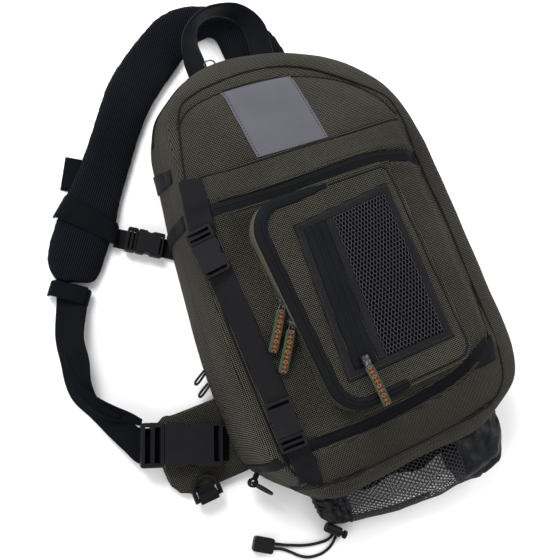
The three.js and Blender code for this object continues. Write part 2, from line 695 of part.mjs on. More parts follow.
// How far a plate of the given width must rise along its normal to clear the bag's front.
function liftClear(frame, length, half, clearance) {
  let lift = -Infinity;
  const normal = V(0, 0, 0).setFromMatrixColumn(frame, 2);
  for (const along of [0, 0.25, 0.5, 0.75, 1]) {
    for (const across of [-1, -0.5, 0, 0.5, 1]) {
      const p = V(along * length, across * half, 0).applyMatrix4(frame);
      lift = Math.max(lift, (frontHeight(p.x, p.y) - p.z) * normal.z + clearance);
    }
  }
  return lift;
}

// The compression strap down the left of the front, with a buckle at each end
const STRAP_X = { top: -0.75, buckle: -0.83, upper: -0.815, lower: -0.79, bottom: -0.755 };
const STRAP_Y = { top: 0.455, upper: 0.25, lower: -0.708, bottom: -0.885 };
const STRAP_TIP = THREE.MathUtils.degToRad(20);

function compressionStrap() {
  const half = WEBBING / 2 + BUCKLE_SIDE;
  const underBuckle = WEBBING_THICKNESS + 2 * GAP;
  const place = (names, x0, y0, x1, direction) => {
    const start = at(x0, y0);
    const end = at(x1, y0).add(V(0, direction * BUCKLE_LENGTH, 0));
    start.z = frontHeight(start.x, start.y);
    end.z = frontHeight(end.x, end.y);
    const frame = frameAlong(start, end, -direction * STRAP_TIP);
    const lift = liftClear(frame, BUCKLE_LENGTH, half, underBuckle);
    const normal = V(0, 0, 0).setFromMatrixColumn(frame, 2);
    frame.setPosition(start.clone().addScaledVector(normal, lift));
    buckle(names, BUCKLE_LENGTH, WEBBING, BUCKLE_SIDE, BUCKLE_THICKNESS, frame);
  };
  const names = (end) => ({ latch: `${end}_buckle_latch`, body: `${end}_buckle_body` });
  place(names("upper"), STRAP_X.buckle, STRAP_Y.upper, STRAP_X.upper, -1);
  place(names("lower"), STRAP_X.lower, STRAP_Y.lower, STRAP_X.lower, 1);
  const ladder = (BUCKLE_LENGTH * LADDER_SHARE) / HALF_HEIGHT;
  const tail = (BUCKLE_LENGTH * 0.2) / HALF_HEIGHT;
  const length = BUCKLE_LENGTH / HALF_HEIGHT;
  const line = (x0, y0, x1, y1, count) =>
    Array.from({ length: count + 1 }, (_, i) => mix(at(x0, y0), at(x1, y1), i / count));
  const strip = (name, points) => add(name, stripOnFront(points, WEBBING, WEBBING_THICKNESS), CHARCOAL);
  const top = STRAP_Y.upper - ladder;
  const bottom = STRAP_Y.lower + ladder;
  const long = { from: STRAP_Y.upper - length + tail, to: STRAP_Y.lower + length - tail };
  strip("strap_anchor_top", line(STRAP_X.top, STRAP_Y.top, STRAP_X.buckle, top, 5));
  strip("compression_webbing", line(STRAP_X.upper, long.from, STRAP_X.lower, long.to, 10));
  strip("strap_anchor_bottom", line(STRAP_X.lower, bottom, STRAP_X.bottom, STRAP_Y.bottom, 5));
}

// Webbing that runs over the left gusset from the front to the back
function gussetStrip(name, rows) {
  const outline = [
    ...rows.map(({ y0, z }) => V(0, y0 * HALF_HEIGHT, z * BODY_DEPTH)),
    ...rows.map(({ y1, z }) => V(0, y1 * HALF_HEIGHT, z * BODY_DEPTH)).reverse(),
  ];
  const reach = (x) => outline.map((p) => p.clone().setX(x));
  const layer = bodySolid(GAP + WEBBING_THICKNESS).subtract(clearBody);
  add(name, layer.intersect(loft([reach(-FAR), reach(-HALF_WIDTH * 0.6)])), CHARCOAL);
}

// Shoulder strap
// Outer and inner edge of the pad from the bag to its lower end, as shares of half the width and height
const PAD_SECTIONS = [
  { ox: 0.52, oy: 0.93, ix: 0.03, iy: 0.95 },
  { ox: 0.51, oy: 1.09, ix: 0.03, iy: 1.1 },
  { ox: 0.45, oy: 1.2, ix: 0.015, iy: 1.2 },
  { ox: 0.31, oy: 1.29, ix: -0.02, iy: 1.22 },
  { ox: 0.09, oy: 1.38, ix: -0.06, iy: 1.21 },
  { ox: -0.12, oy: 1.41, ix: -0.11, iy: 1.2 },
  { ox: -0.32, oy: 1.39, ix: -0.18, iy: 1.175 },
  { ox: -0.51, oy: 1.32, ix: -0.27, iy: 1.13 },
  { ox: -0.71, oy: 1.225, ix: -0.43, iy: 1.05 },
  { ox: -0.87, oy: 1.13, ix: -0.58, iy: 0.97 },
  { ox: -1.0, oy: 1.02, ix: -0.7, iy: 0.89 },
  { ox: -1.1, oy: 0.93, ix: -0.81, iy: 0.8 },
  { ox: -1.24, oy: 0.81, ix: -0.93, iy: 0.69 },
  { ox: -1.42, oy: 0.68, ix: -1.06, iy: 0.57 },
  { ox: -1.53, oy: 0.59, ix: -1.15, iy: 0.475 },
  { ox: -1.63, oy: 0.5, ix: -1.25, iy: 0.39 },
  { ox: -1.69, oy: 0.42, ix: -1.35, iy: 0.32 },
  { ox: -1.7, oy: 0.36, ix: -1.44, iy: 0.27 },
];
const PAD_STEPS = 25;
const TAIL_WIDTH = 19;
// Upper and lower edge of the band across the pad, as shares of the pad's length
const CROSSBAND = { outer: [0.79, 0.865], inner: [0.845, 0.905], overhang: 0.02 };
// Cross-section of a padded strap: place across, height
const PAD_PROFILE = [
  [0.06, 0], [0.94, 0], [1, 0.3], [0.985, 0.7], [0.9, 0.97], [0.5, 1], [0.1, 0.97], [0.015, 0.7], [0, 0.3],
];

// The pad, grown by a clearance.
function padSolid(grow) {
  const outer = smoothed(PAD_SECTIONS.map((s) => at(s.ox, s.oy)), PAD_STEPS);
  const inner = smoothed(PAD_SECTIONS.map((s) => at(s.ix, s.iy)), PAD_STEPS);
  return loft(
    outer.map((o, i) => {
      const side = o.clone().sub(inner[i]).setLength(grow);
      const from = o.clone().add(side);
      const to = inner[i].clone().sub(side);
      return PAD_PROFILE.map(([across, height]) =>
        mix(from, to, across).setZ(height * (PAD_THICKNESS + 2 * grow) - grow),
      );
    }),
  );
}

const padPlace = (share, across, z) => {
  const outer = smoothed(PAD_SECTIONS.map((s) => at(s.ox, s.oy)), 100)[Math.round(share * 100)];
  const inner = smoothed(PAD_SECTIONS.map((s) => at(s.ix, s.iy)), 100)[Math.round(share * 100)];
  return mix(outer, inner, across).setZ(z);
};

const clearPanel = loft([
  planRing(widestCurve, BACK_PANEL_INSET - GAP, -1),
  planRing(widestCurve, BACK_PANEL_INSET - GAP, BACK_PANEL_THICKNESS + GAP),
]);
const clearOfBag = (solid) => solid.subtract(clearBody).subtract(clearPanel);

function shoulderStrap() {
  add("shoulder_strap", clearOfBag(padSolid(0)), PAD_BLACK);

  // The band across the pad carries the stabiliser, the keeper closes the pad's lower end
  const over = PAD_THICKNESS + GAP;
  const bandRow = (across) => ({
    left: padPlace(THREE.MathUtils.lerp(CROSSBAND.outer[0], CROSSBAND.inner[0], across), across, over),
    right: padPlace(THREE.MathUtils.lerp(CROSSBAND.outer[1], CROSSBAND.inner[1], across), across, over),
  });
  const band = [-CROSSBAND.overhang, 0.5, 1 + CROSSBAND.overhang].map(bandRow);
  add("strap_crossband", ribbon(band, WEBBING_THICKNESS, 0), CHARCOAL);
  const tail = slab(at(-1.295, 0.845, 0), at(-1.405, 0.705, 0), TAIL_WIDTH, WEBBING_THICKNESS);
  add("strap_tail", tail.subtract(padSolid(GAP)), CHARCOAL);
}

// Shoulder webbing from the pad's lower end to the wide buckle, one row for each turn of its edges
const WEBBING_ROWS = [
  { left: at(-1.7, 0.25, 1), right: at(-1.545, 0.165, 10) },
  { left: at(-1.795, 0.09, 1), right: at(-1.64, 0.04, 20) },
  { left: at(-1.82, -0.02, 1), right: at(-1.66, -0.055, 22) },
  { left: at(-1.84, -0.12, 1), right: at(-1.7, -0.155, 23) },
  { left: at(-1.83, -0.19, 1), right: at(-1.69, -0.24, 22) },
  { left: at(-1.77, -0.28, 1), right: at(-1.6, -0.33, 19) },
  { left: at(-1.7, -0.39, 5), right: at(-1.55, -0.35, 12) },
  { left: at(-1.66, -0.485, 9), right: at(-1.555, -0.385, 11) },
];
const WIDE_BUCKLE_ANGLE = THREE.MathUtils.degToRad(-22);
const WIDE_BUCKLE_ALONG = V(Math.cos(WIDE_BUCKLE_ANGLE), Math.sin(WIDE_BUCKLE_ANGLE));
// Its inner corner stays clear of the bag's side, and the rest follows from its length
const WIDE_BUCKLE_FROM = V(
  -HALF_WIDTH - WIDE_BUCKLE_TO_BAG + WIDE_BUCKLE_ALONG.y * (WIDE_WEBBING / 2 + WIDE_BUCKLE_SIDE),
  -0.609 * HALF_HEIGHT,
  PAD_THICKNESS + WEBBING_THICKNESS + 2 * GAP,
).addScaledVector(WIDE_BUCKLE_ALONG, -WIDE_BUCKLE_LENGTH);

const WING = [
  { x: -0.9, y: -0.78, radius: WING_ROUND * 0.23 },
  { x: -0.9, y: -0.41, radius: WING_ROUND * 0.23 },
  { x: -1.49, y: -0.395, radius: WING_ROUND * 0.85 },
  { x: -1.48, y: -0.765, radius: WING_ROUND },
];

function waistWing() {
  const ring = (margin, z) => roundedOutline(WING, margin).map((p) => p.setZ(z));
  const wing = loft([
    ring(-PAD_THICKNESS * 0.25, 0),
    ring(0, PAD_THICKNESS * 0.35),
    ring(-PAD_THICKNESS * 0.05, PAD_THICKNESS * 0.75),
    ring(-PAD_THICKNESS * 0.33, PAD_THICKNESS),
  ]);
  add("waist_wing", clearOfBag(wing), OLIVE);

  const along = WIDE_BUCKLE_ALONG;
  const frame = frameAlong(WIDE_BUCKLE_FROM, WIDE_BUCKLE_FROM.clone().add(along), 0);
  const names = { latch: "wide_buckle_latch", body: "wide_buckle_body" };
  buckle(names, WIDE_BUCKLE_LENGTH, WIDE_WEBBING, WIDE_BUCKLE_SIDE, WIDE_BUCKLE_THICKNESS, frame);
  const seat = PAD_THICKNESS + GAP;
  const start = WIDE_BUCKLE_FROM.clone().addScaledVector(along, WIDE_BUCKLE_LENGTH * 0.82).setZ(seat);
  const end = start.clone().addScaledVector(along, WIDE_BUCKLE_LENGTH * 0.5);
  add("wing_webbing", slab(start, end, WIDE_WEBBING, WEBBING_THICKNESS).subtract(clearBody), CHARCOAL);

  // The webbing passes under the ladder end and stops below its second bar
  const head = WIDE_BUCKLE_FROM.clone().setZ(seat);
  const under = head.clone().addScaledVector(along, WIDE_BUCKLE_LENGTH * LADDER_SHARE);
  const across = V(-along.y, along.x, 0).multiplyScalar(WIDE_WEBBING / 2);
  const rows = [
    ...WEBBING_ROWS,
    { left: head.clone().sub(across), right: head.clone().add(across) },
    { left: under.clone().sub(across), right: under.clone().add(across) },
  ];
  add("shoulder_webbing", ribbon(rows, WEBBING_THICKNESS, 22), CHARCOAL);
}

// The keeper is a short sleeve of webbing over the pad's end and the start of the shoulder webbing.
function strapKeeper() {
  const from = at(-1.69, 0.335, PAD_THICKNESS + GAP);
  const to = at(-1.47, 0.215, PAD_THICKNESS + GAP);
  add("strap_keeper", slab(from, to, 16, WEBBING_THICKNESS), CHARCOAL);
}

// Stabiliser from the crossband to the bag's left side
function stabiliser() {
  const start = at(-1.19, 0.42);
  const direction = V(0.85, -0.53, 0).normalize();
  const level = PAD_THICKNESS * 0.4;
  const from = start.clone().addScaledVector(direction, STAB_LEAD).setZ(level);
  const frame = frameAlong(from, from.clone().add(direction), 0);
  const names = { latch: "stab_buckle_latch", body: "stab_buckle_body" };
  buckle(names, STAB_BUCKLE_LENGTH, WEBBING, BUCKLE_SIDE, BUCKLE_THICKNESS, frame);
  const under = level - GAP - WEBBING_THICKNESS;
  const ladder = STAB_BUCKLE_LENGTH * LADDER_SHARE;
  const a = start.clone().addScaledVector(direction, -2).setZ(under);
  const b = from.clone().addScaledVector(direction, ladder).setZ(under);
  add("stab_webbing_strap", slab(a, b, WEBBING, WEBBING_THICKNESS).subtract(padSolid(GAP)), CHARCOAL);
  const c = from.clone().addScaledVector(direction, STAB_BUCKLE_LENGTH * 0.8).setZ(under);
  const d = c.clone().addScaledVector(direction, STAB_BUCKLE_LENGTH);
  add("stab_webbing_bag", clearOfBag(slab(c, d, WEBBING, WEBBING_THICKNESS)), CHARCOAL);
}

// The carry handle: flat at both feet and turned on edge over the top
const HANDLE_ROWS = [
  { x: -0.232, y: 1.0, z: 19, turn: 0 },
  { x: -0.235, y: 1.1, z: 21, turn: 12 },
  { x: -0.2, y: 1.21, z: 25, turn: 45 },
  { x: -0.09, y: 1.285, z: 28, turn: 80 },
  { x: 0.06, y: 1.3, z: 29, turn: 92 },
  { x: 0.2, y: 1.265, z: 28, turn: 105 },
  { x: 0.285, y: 1.17, z: 25, turn: 140 },
  { x: 0.28, y: 1.06, z: 21, turn: 168 },
  { x: 0.26, y: 0.955, z: 19, turn: 180 },
];

function carryHandle() {
  const line = HANDLE_ROWS.map((row) => at(row.x, row.y, row.z));
  const curve = new THREE.CatmullRomCurve3(line, false, "centripetal");
  const rows = HANDLE_ROWS.map((row, i) => {
    const along = curve.getTangent(i / (HANDLE_ROWS.length - 1));
    const flat = new THREE.Vector3().crossVectors(V(0, 0, 1), along).setZ(0).normalize();
    const swing = THREE.MathUtils.degToRad(row.turn > 90 ? row.turn - 180 : row.turn);
    const reach = row.turn > 90 ? -1 : 1;
    const side = flat.multiplyScalar(Math.cos(swing)).add(V(0, 0, Math.sin(swing) * reach));
    return { p: line[i], half: side.setLength(HANDLE_WEBBING / 2) };
  });
  for (let i = 1; i < rows.length; i++) {
    if (rows[i].half.dot(rows[i - 1].half) < 0) rows[i].half.negate();
  }
  const centres = smoothed(rows.map((r) => r.p), 15);
  const halves = smoothed(rows.map((r) => r.half), 15);
  const rings = centres.map((p, i) => {
    const before = centres[Math.max(i - 1, 0)];
    const after = centres[Math.min(i + 1, centres.length - 1)];
    const half = halves[i].clone().setLength(HANDLE_WEBBING / 2);
    const normal = new THREE.Vector3().crossVectors(half, after.clone().sub(before));
    normal.setLength(HANDLE_THICKNESS / 2);
    return [
      p.clone().sub(half).sub(normal),
      p.clone().add(half).sub(normal),
      p.clone().add(half).add(normal),
      p.clone().sub(half).add(normal),
    ];
  });
  add("carry_handle", loft(rings).subtract(clearBody), CHARCOAL);
}

// Plastic D-ring on a webbing loop at the lower edge of the waist wing
const D_RING_BAR = at(-1.27, -0.795, PAD_THICKNESS + GAP + D_RING_WIRE / 2 + 0.4);

function dRing() {
  const half = D_RING_WIDTH / 2;
  const wire = D_RING_WIRE;
  const outline = (inset) => {
    const h = half - inset;
    const shape = new THREE.Shape();
    shape.moveTo(-h, -wire / 2 + inset);
    shape.lineTo(h, -wire / 2 + inset);
    shape.lineTo(h, D_RING_REACH - half - wire / 2);
    shape.absarc(0, D_RING_REACH - half - wire / 2, h, 0, Math.PI, false);
    return shape;
  };
  const ring = outline(0);
  ring.holes.push(outline(wire));
  const group = new THREE.Group();
  group.position.copy(D_RING_BAR);
  bag.add(group);
  const flat = new THREE.ExtrudeGeometry(ring, {
    depth: wire - 2 * PLASTIC_BEVEL,
    bevelEnabled: true,
    bevelThickness: PLASTIC_BEVEL,
    bevelSize: PLASTIC_BEVEL,
    bevelOffset: -PLASTIC_BEVEL,
    bevelSegments: 1,
    curveSegments: 6,
  });
  add("d_ring", solidOf(flat.translate(0, 0, PLASTIC_BEVEL - wire / 2)), PLASTIC, group);

  // The loop is a sleeve round the bar, with a tail to the edge of the wing
  const bore = (wire * Math.SQRT2) / 2 + PIVOT_CLEARANCE;
  const outer = bore + LOOP_WALL;
  const width = D_RING_WIDTH - 2 * wire - 2 * PIVOT_CLEARANCE - 2;
  const profileShape = new THREE.Shape();
  profileShape.absarc(0, 0, outer, 0, Math.PI * 2, false);
  profileShape.holes.push(new THREE.Path().absarc(0, 0, bore, 0, Math.PI * 2, true));
  const along = { depth: width, bevelEnabled: false, curveSegments: 6 };
  const sleeve = new THREE.ExtrudeGeometry(profileShape, along);
  const standing = sleeve.rotateY(Math.PI / 2).rotateX(Math.PI / 2).translate(-width / 2, 0, 0);
  const reach = D_RING_BAR.y;
  const edge = -0.765 * HALF_HEIGHT;
  const tail = box(
    V(-width / 2, outer - LOOP_WALL, -outer),
    V(width / 2, edge - reach + 4, -outer + LOOP_WALL + 1.6),
  );
  const foot = box(V(-width / 2, 0, -outer), V(width / 2, outer, -bore));
  const wingClear = roundedOutline(WING, GAP + 0.1);
  const wingBlock = prism(wingClear, -1, PAD_THICKNESS + GAP);
  const place = (solid) => solidOf(geometryOf(solid).translate(D_RING_BAR.x, D_RING_BAR.y, D_RING_BAR.z));
  const loop = solidOf(standing).add(foot).add(tail);
  add("d_ring_loop", place(loop).subtract(wingBlock), CHARCOAL);
}

// Round ring on a short webbing tab at the bag's lower left corner
const TAB_ROOT = at(-0.93, -0.785, 24);
const TAB_OUT = V(-0.755, -0.655, 0);
const TAB_REACH = 11;
const RING_HANG = V(0.6, -0.8, 0).normalize();

function ringTab() {
  const pivot = TAB_ROOT.clone().addScaledVector(TAB_OUT, TAB_REACH);
  const group = new THREE.Group();
  group.position.copy(pivot);
  bag.add(group);
  const normal = new THREE.Vector3().crossVectors(RING_HANG, V(0, 0, 1));
  const frame = new THREE.Matrix4().makeBasis(RING_HANG, V(0, 0, 1), normal);
  const ring = new THREE.TorusGeometry(ROUND_RING_RADIUS, ROUND_RING_WIRE / 2, 6, 16)
    .translate(ROUND_RING_RADIUS, 0, 0)
    .applyMatrix4(frame);
  add("tab_ring", solidOf(ring), PLASTIC, group);

  // The tab is a sleeve about the ring's wire, whose axis stands upright
  const bore = ROUND_RING_WIRE / 2 + PIVOT_CLEARANCE + 0.9;
  const outer = bore + LOOP_WALL;
  const tall = RING_SLEEVE_HEIGHT;
  const profileShape = new THREE.Shape();
  profileShape.absarc(0, 0, outer, 0, Math.PI * 2, false);
  profileShape.holes.push(new THREE.Path().absarc(0, 0, bore, 0, Math.PI * 2, true));
  const upright = new THREE.ExtrudeGeometry(profileShape, {
    depth: tall,
    bevelEnabled: false,
    curveSegments: 5,
  });
  const sleeve = solidOf(upright.translate(pivot.x, pivot.y, pivot.z - tall / 2));
  const side = V(-TAB_OUT.y, TAB_OUT.x).multiplyScalar(LOOP_WALL);
  const inner = pivot.clone().addScaledVector(TAB_OUT, -bore - 0.4);
  const root = TAB_ROOT.clone().addScaledVector(TAB_OUT, -6);
  const corners = [
    inner.clone().sub(side),
    inner.clone().add(side),
    root.clone().add(side),
    root.clone().sub(side),
  ];
  const web = prism(corners, pivot.z - tall / 2, pivot.z + tall / 2);
  add("ring_tab", sleeve.add(web).subtract(clearBody), CHARCOAL);
}

// Two short cord loops that stand out of the left seam of the back
function sideLoops() {
  [
    { y: -0.29, lean: 1 },
    { y: -0.385, lean: -1 },
  ].forEach(({ y, lean }, i) => {
    const root = V(leftWall(y * HALF_HEIGHT, SIDE_LOOP.level), y * HALF_HEIGHT, SIDE_LOOP.level);
    const tip = root.clone().add(V(-SIDE_LOOP.out, -SIDE_LOOP.lean * lean, -SIDE_LOOP.drop));
    const inside = root.clone().add(V(SIDE_LOOP.drop, (SIDE_LOOP.lean / 3) * lean, 0));
    const path = new THREE.LineCurve3(inside, tip);
    const section = new THREE.Shape();
    section.absarc(0, 0, SIDE_LOOP.wire / 2, 0, Math.PI * 2, false);
    const stub = new THREE.ExtrudeGeometry(section, { steps: 1, extrudePath: path, curveSegments: 4 });
    add(`side_loop_${i + 1}`, solidOf(stub).subtract(clearBody), CHARCOAL);
  });
}

// Net pouch under the bottom of the bag: a net in the middle, plain nylon on the right and a gathered hem
// on the left. Each row is a section across it: place, lower edge and share of the pouch depth.
const POUCH = [
  { x: -0.62, low: -1.1, deep: 0.3 },
  { x: -0.57, low: -1.145, deep: 0.42 },
  { x: -0.5, low: -1.165, deep: 0.5 },
  { x: -0.4, low: -1.178, deep: 0.62 },
  { x: -0.1, low: -1.222, deep: 0.8 },
  { x: 0.2, low: -1.242, deep: 0.95 },
  { x: 0.36, low: -1.236, deep: 1 },
  { x: 0.54, low: -1.246, deep: 1 },
  { x: 0.72, low: -1.215, deep: 0.95 },
  { x: 0.81, low: -1.14, deep: 0.8 },
  { x: 0.84, low: -1.06, deep: 0.6 },
];
const POUCH_SIDES = 8;
const POUCH_TOP = -0.94; // the pouch runs up to here and is cut by the bottom gusset
const POUCH_JOINTS = { hem: -0.47, fabric: 0.4 };

function pouchSolid(inset, from, to) {
  const rows = smoothed(POUCH.map((row) => V(row.x, row.low, row.deep)), 12);
  const inside = rows.filter((row) => row.x > from && row.x < to);
  const edgeRow = (x) => {
    const next = Math.max(1, rows.findIndex((row) => row.x >= x));
    const a = rows[next - 1];
    const b = rows[next];
    return mix(a, b, THREE.MathUtils.clamp((x - a.x) / (b.x - a.x), 0, 1));
  };
  const kept = [edgeRow(from), ...inside, edgeRow(to)].filter(
    (row, i, all) => i === 0 || (row.x - all[i - 1].x) * HALF_WIDTH > 1,
  );
  return loft(
    kept.map((row) => {
      const low = row.y * HALF_HEIGHT;
      const high = POUCH_TOP * HALF_HEIGHT;
      const depth = row.z * POUCH_DEPTH;
      const centre = V(row.x * HALF_WIDTH, (low + high) / 2, 1 + depth / 2);
      return Array.from({ length: POUCH_SIDES }, (_, k) => {
        const angle = (2 * Math.PI * k) / POUCH_SIDES;
        const y = Math.cos(angle) * ((high - low) / 2 - inset);
        const z = Math.sin(angle) * (depth / 2 - inset);
        return V(centre.x, centre.y + y, centre.z + z);
      });
    }),
  );
}

function netPouch() {
  const { hem, fabric } = POUCH_JOINTS;
  const clear = GAP / HALF_WIDTH;
  const start = POUCH[0].x;
  const end = POUCH.at(-1).x;
  const hollow = pouchSolid(POUCH_WALL, start + 0.03, end - 0.02);
  const cut = (solid) => clearOfBag(solid.subtract(hollow));
  add("pouch_hem", cut(pouchSolid(0, start, hem)), NYLON);
  add("pouch_fabric", cut(pouchSolid(0, fabric, end)), NYLON);

  let net = cut(pouchSolid(0, hem + clear, fabric - clear));
  const columns = 6;
  const rows = 3;
  const width = (fabric - hem - 2 * clear) / columns;
  const edge = smoothed(POUCH.map((row) => V(row.x, row.low)), 60);
  for (let i = 0; i < columns; i++) {
    for (let j = 0; j < rows; j++) {
      const x = hem + clear + (i + 0.5) * width;
      const bottom = edge.find((p) => p.x >= x).y + 0.035;
      const height = (-1.02 - bottom) / rows;
      const y = bottom + (j + 0.5) * height;
      const halfX = width * 0.36;
      const halfY = height * 0.36;
      const diamond = [at(x - halfX, y), at(x, y - halfY), at(x + halfX, y), at(x, y + halfY)];
      net = net.subtract(prism(diamond, -1, POUCH_DEPTH + 4));
    }
  }
  add("net_pouch", net, PAD_BLACK);
}

// Cord lock on the hem, two strands of cord and the cord end that joins them
const LOCK_FROM = at(-0.605, -1.147, 1 + CORD_LOCK_DIAMETER / 2);
const LOCK_ALONG = V(0.69, -0.72, 0).normalize();
const CORD_LEVEL = CORD_DIAMETER / 2 + CORD_LIFT;
const UPPER_CORD = [
  [-0.5764, -1.1995], [-0.62, -1.208], [-0.68, -1.203], [-0.74, -1.193], [-0.8, -1.178], [-0.86, -1.158],
  [-0.91, -1.14], [-0.945, -1.126], [-0.9755, -1.1127],
];
const LOWER_CORD = [
  [-0.5581, -1.2124], [-0.62, -1.24], [-0.68, -1.25], [-0.73, -1.248], [-0.79, -1.237], [-0.845, -1.212],
  [-0.89, -1.18], [-0.94, -1.15], [-0.9937, -1.1304],
];

function cordTube(name, points) {
  const route = points.map(([x, y]) => at(x, y, CORD_LEVEL));
  const curve = new THREE.CatmullRomCurve3(route, false, "centripetal");
  const section = new THREE.Shape(
    Array.from({ length: CORD_SIDES }, (_, k) => {
      const angle = (2 * Math.PI * (k + 0.5)) / CORD_SIDES;
      return new THREE.Vector2(Math.cos(angle), Math.sin(angle)).multiplyScalar(CORD_DIAMETER / 2);
    }),
  );
  add(name, solidOf(new THREE.ExtrudeGeometry(section, { steps: 10, extrudePath: curve })), CHARCOAL);
}

function drawcord() {
  const radius = CORD_LOCK_DIAMETER / 2;
  const frame = frameAlong(LOCK_FROM, LOCK_FROM.clone().add(LOCK_ALONG), 0);
  const group = new THREE.Group();
  frame.decompose(group.position, group.quaternion, group.scale);
  bag.add(group);
  const bore = radius * 0.6;
  const boreEnd = CORD_LOCK_LENGTH - CORD_LOCK_BORE;
  const barrelProfile = [
    [0, 0], [radius * 0.9, 0], [radius, 1], [radius, CORD_LOCK_LENGTH], [bore, CORD_LOCK_LENGTH],
    [bore, boreEnd], [0, boreEnd],
  ];
  const turned = (rows) =>
    solidOf(
      new THREE.LatheGeometry(rows.map(([r, h]) => new THREE.Vector2(r, h)), 12)
        .rotateZ(-Math.PI / 2),
    );
  add("cord_lock", turned(barrelProfile), PLASTIC, group);
  const stem = bore - PIVOT_CLEARANCE;
  const seat = boreEnd + BUTTON_STROKE + BUTTON_SPACE;
  const head = seat + CORD_LOCK_BORE;
  const top = head + BUTTON_HEAD;
  const buttonProfile = [
    [0, seat], [stem, seat], [stem, head], [radius * 0.85, head], [radius * 0.85, top], [0, top],
  ];
  add("cord_lock_button", turned(buttonProfile), PLASTIC, group);
  cordTube("drawcord_upper", UPPER_CORD);
  cordTube("drawcord_lower", LOWER_CORD);
  const middle = at(-1.045, -1.095, CORD_LIFT);
  const cordSide = at(-0.98, -1.125, CORD_LIFT);
  const toward = cordSide.clone().sub(middle).normalize();
  const endFrame = frameAlong(middle.clone().addScaledVector(toward, -CORD_END.length / 2), cordSide, 0);
  const endGroup = new THREE.Group();
  endFrame.decompose(endGroup.position, endGroup.quaternion, endGroup.scale);
  bag.add(endGroup);
  const plan = roundRect(0, CORD_END.length, CORD_END.width / 2, CORD_END.round);
  add("cord_end", moulded(plan, 0, CORD_END.height), PLASTIC, endGroup);
}

backPanel();
bodyShells();
rearZip();
reflectivePatch();
const pocketZipLevel = frontPocket();
const windowZipEnd = netWindow();
compressionStrap();
gussetStrip("gusset_band", [
  { y0: 0.536, y1: 0.628, z: 0.1 },
  { y0: 0.522, y1: 0.599, z: 0.36 },
  { y0: 0.507, y1: 0.57, z: 0.6 },
  { y0: 0.496, y1: 0.547, z: 0.82 },
]);
gussetStrip("gusset_webbing", [
  { y0: 0.275, y1: 0.345, z: 0.1 },
  { y0: 0.284, y1: 0.345, z: 0.45 },
  { y0: 0.284, y1: 0.344, z: 0.78 },
]);
shoulderStrap();
waistWing();
strapKeeper();
stabiliser();
carryHandle();
dRing();
ringTab();
sideLoops();
netPouch();
drawcord();

// The two sliders of the pocket zip stand out of its left side, and their tapes fall over the strap.
const pocketCorner = { top: at(POCKET[3].x, POCKET[3].y), bottom: at(POCKET[0].x, POCKET[0].y) };
const sideDown = mix(pocketCorner.top, pocketCorner.bottom, 1).sub(pocketCorner.top).normalize();
const sideOut = V(sideDown.y, -sideDown.x);
const pocketPull = (index, share) => {
  const place = mix(pocketCorner.top, pocketCorner.bottom, share)
    .addScaledVector(sideOut, 2 * GAP + ZIP_TAPE_THICKNESS)
    .setZ(pocketZipLevel);
  zipPull(index, place, sideDown, sideOut, PULL_FALL, PULL_OFF_SIDE);
};
pocketPull(1, 0.42);
pocketPull(2, 0.52);
const windowPull = windowZipEnd.clone().add(V(0, SLIDER.length, 0));
zipPull(3, windowPull, V(0, -1, 0), V(0, 0, 1), V(0.07, -1, 0).normalize(), PULL_OFF_FACE);

export default bag;
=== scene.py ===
"""Dresses the packed fishing tackle sling bag in its fabrics, webbing, zips, nets and buckles."""

import math

import bmesh
import bpy
import numpy as np
from mathutils import Matrix, Vector, noise
from mathutils.bvhtree import BVHTree


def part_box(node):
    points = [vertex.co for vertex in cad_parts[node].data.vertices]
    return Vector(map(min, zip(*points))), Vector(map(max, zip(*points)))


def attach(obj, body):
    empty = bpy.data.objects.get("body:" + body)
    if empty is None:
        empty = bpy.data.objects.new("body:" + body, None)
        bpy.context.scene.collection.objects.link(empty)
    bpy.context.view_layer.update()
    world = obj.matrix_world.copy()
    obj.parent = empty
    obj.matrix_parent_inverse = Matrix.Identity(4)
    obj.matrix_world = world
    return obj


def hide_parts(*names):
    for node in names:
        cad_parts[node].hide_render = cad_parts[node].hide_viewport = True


bl_info = {
    "name": "Tackle sling bag",
    "version": (1, 0, 0),
    "blender": (4, 5, 0),
    "location": "View3D > Sidebar > Bag",
    "description": "Dresses the packed sling bag in fabric, webbing, zips, nets and buckles",
    "category": "Object",
}

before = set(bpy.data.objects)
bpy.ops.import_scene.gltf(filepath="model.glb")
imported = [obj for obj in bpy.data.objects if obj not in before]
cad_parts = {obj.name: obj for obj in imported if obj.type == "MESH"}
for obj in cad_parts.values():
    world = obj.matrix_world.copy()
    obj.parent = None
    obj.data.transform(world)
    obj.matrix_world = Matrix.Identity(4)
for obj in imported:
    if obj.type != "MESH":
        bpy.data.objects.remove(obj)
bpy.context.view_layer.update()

MM = 0.001
HALF_WIDTH = 151 * MM
HALF_HEIGHT = 224 * MM
BODY_DEPTH = 112 * MM
BACK_LEVEL = 6.3 * MM
BACK_ROUND = 5 * MM
FRONT_ROUND = 28 * MM
DIVIDER_LEVEL = 58.2 * MM
REAR_ZIP_LEVEL = 38 * MM
POCKET_TOP = 135 * MM
GAP = 0.3 * MM
PAD_THICKNESS = 12 * MM
POUCH_DEPTH = 46 * MM
TAU = 2 * math.pi


# Sizes and colours


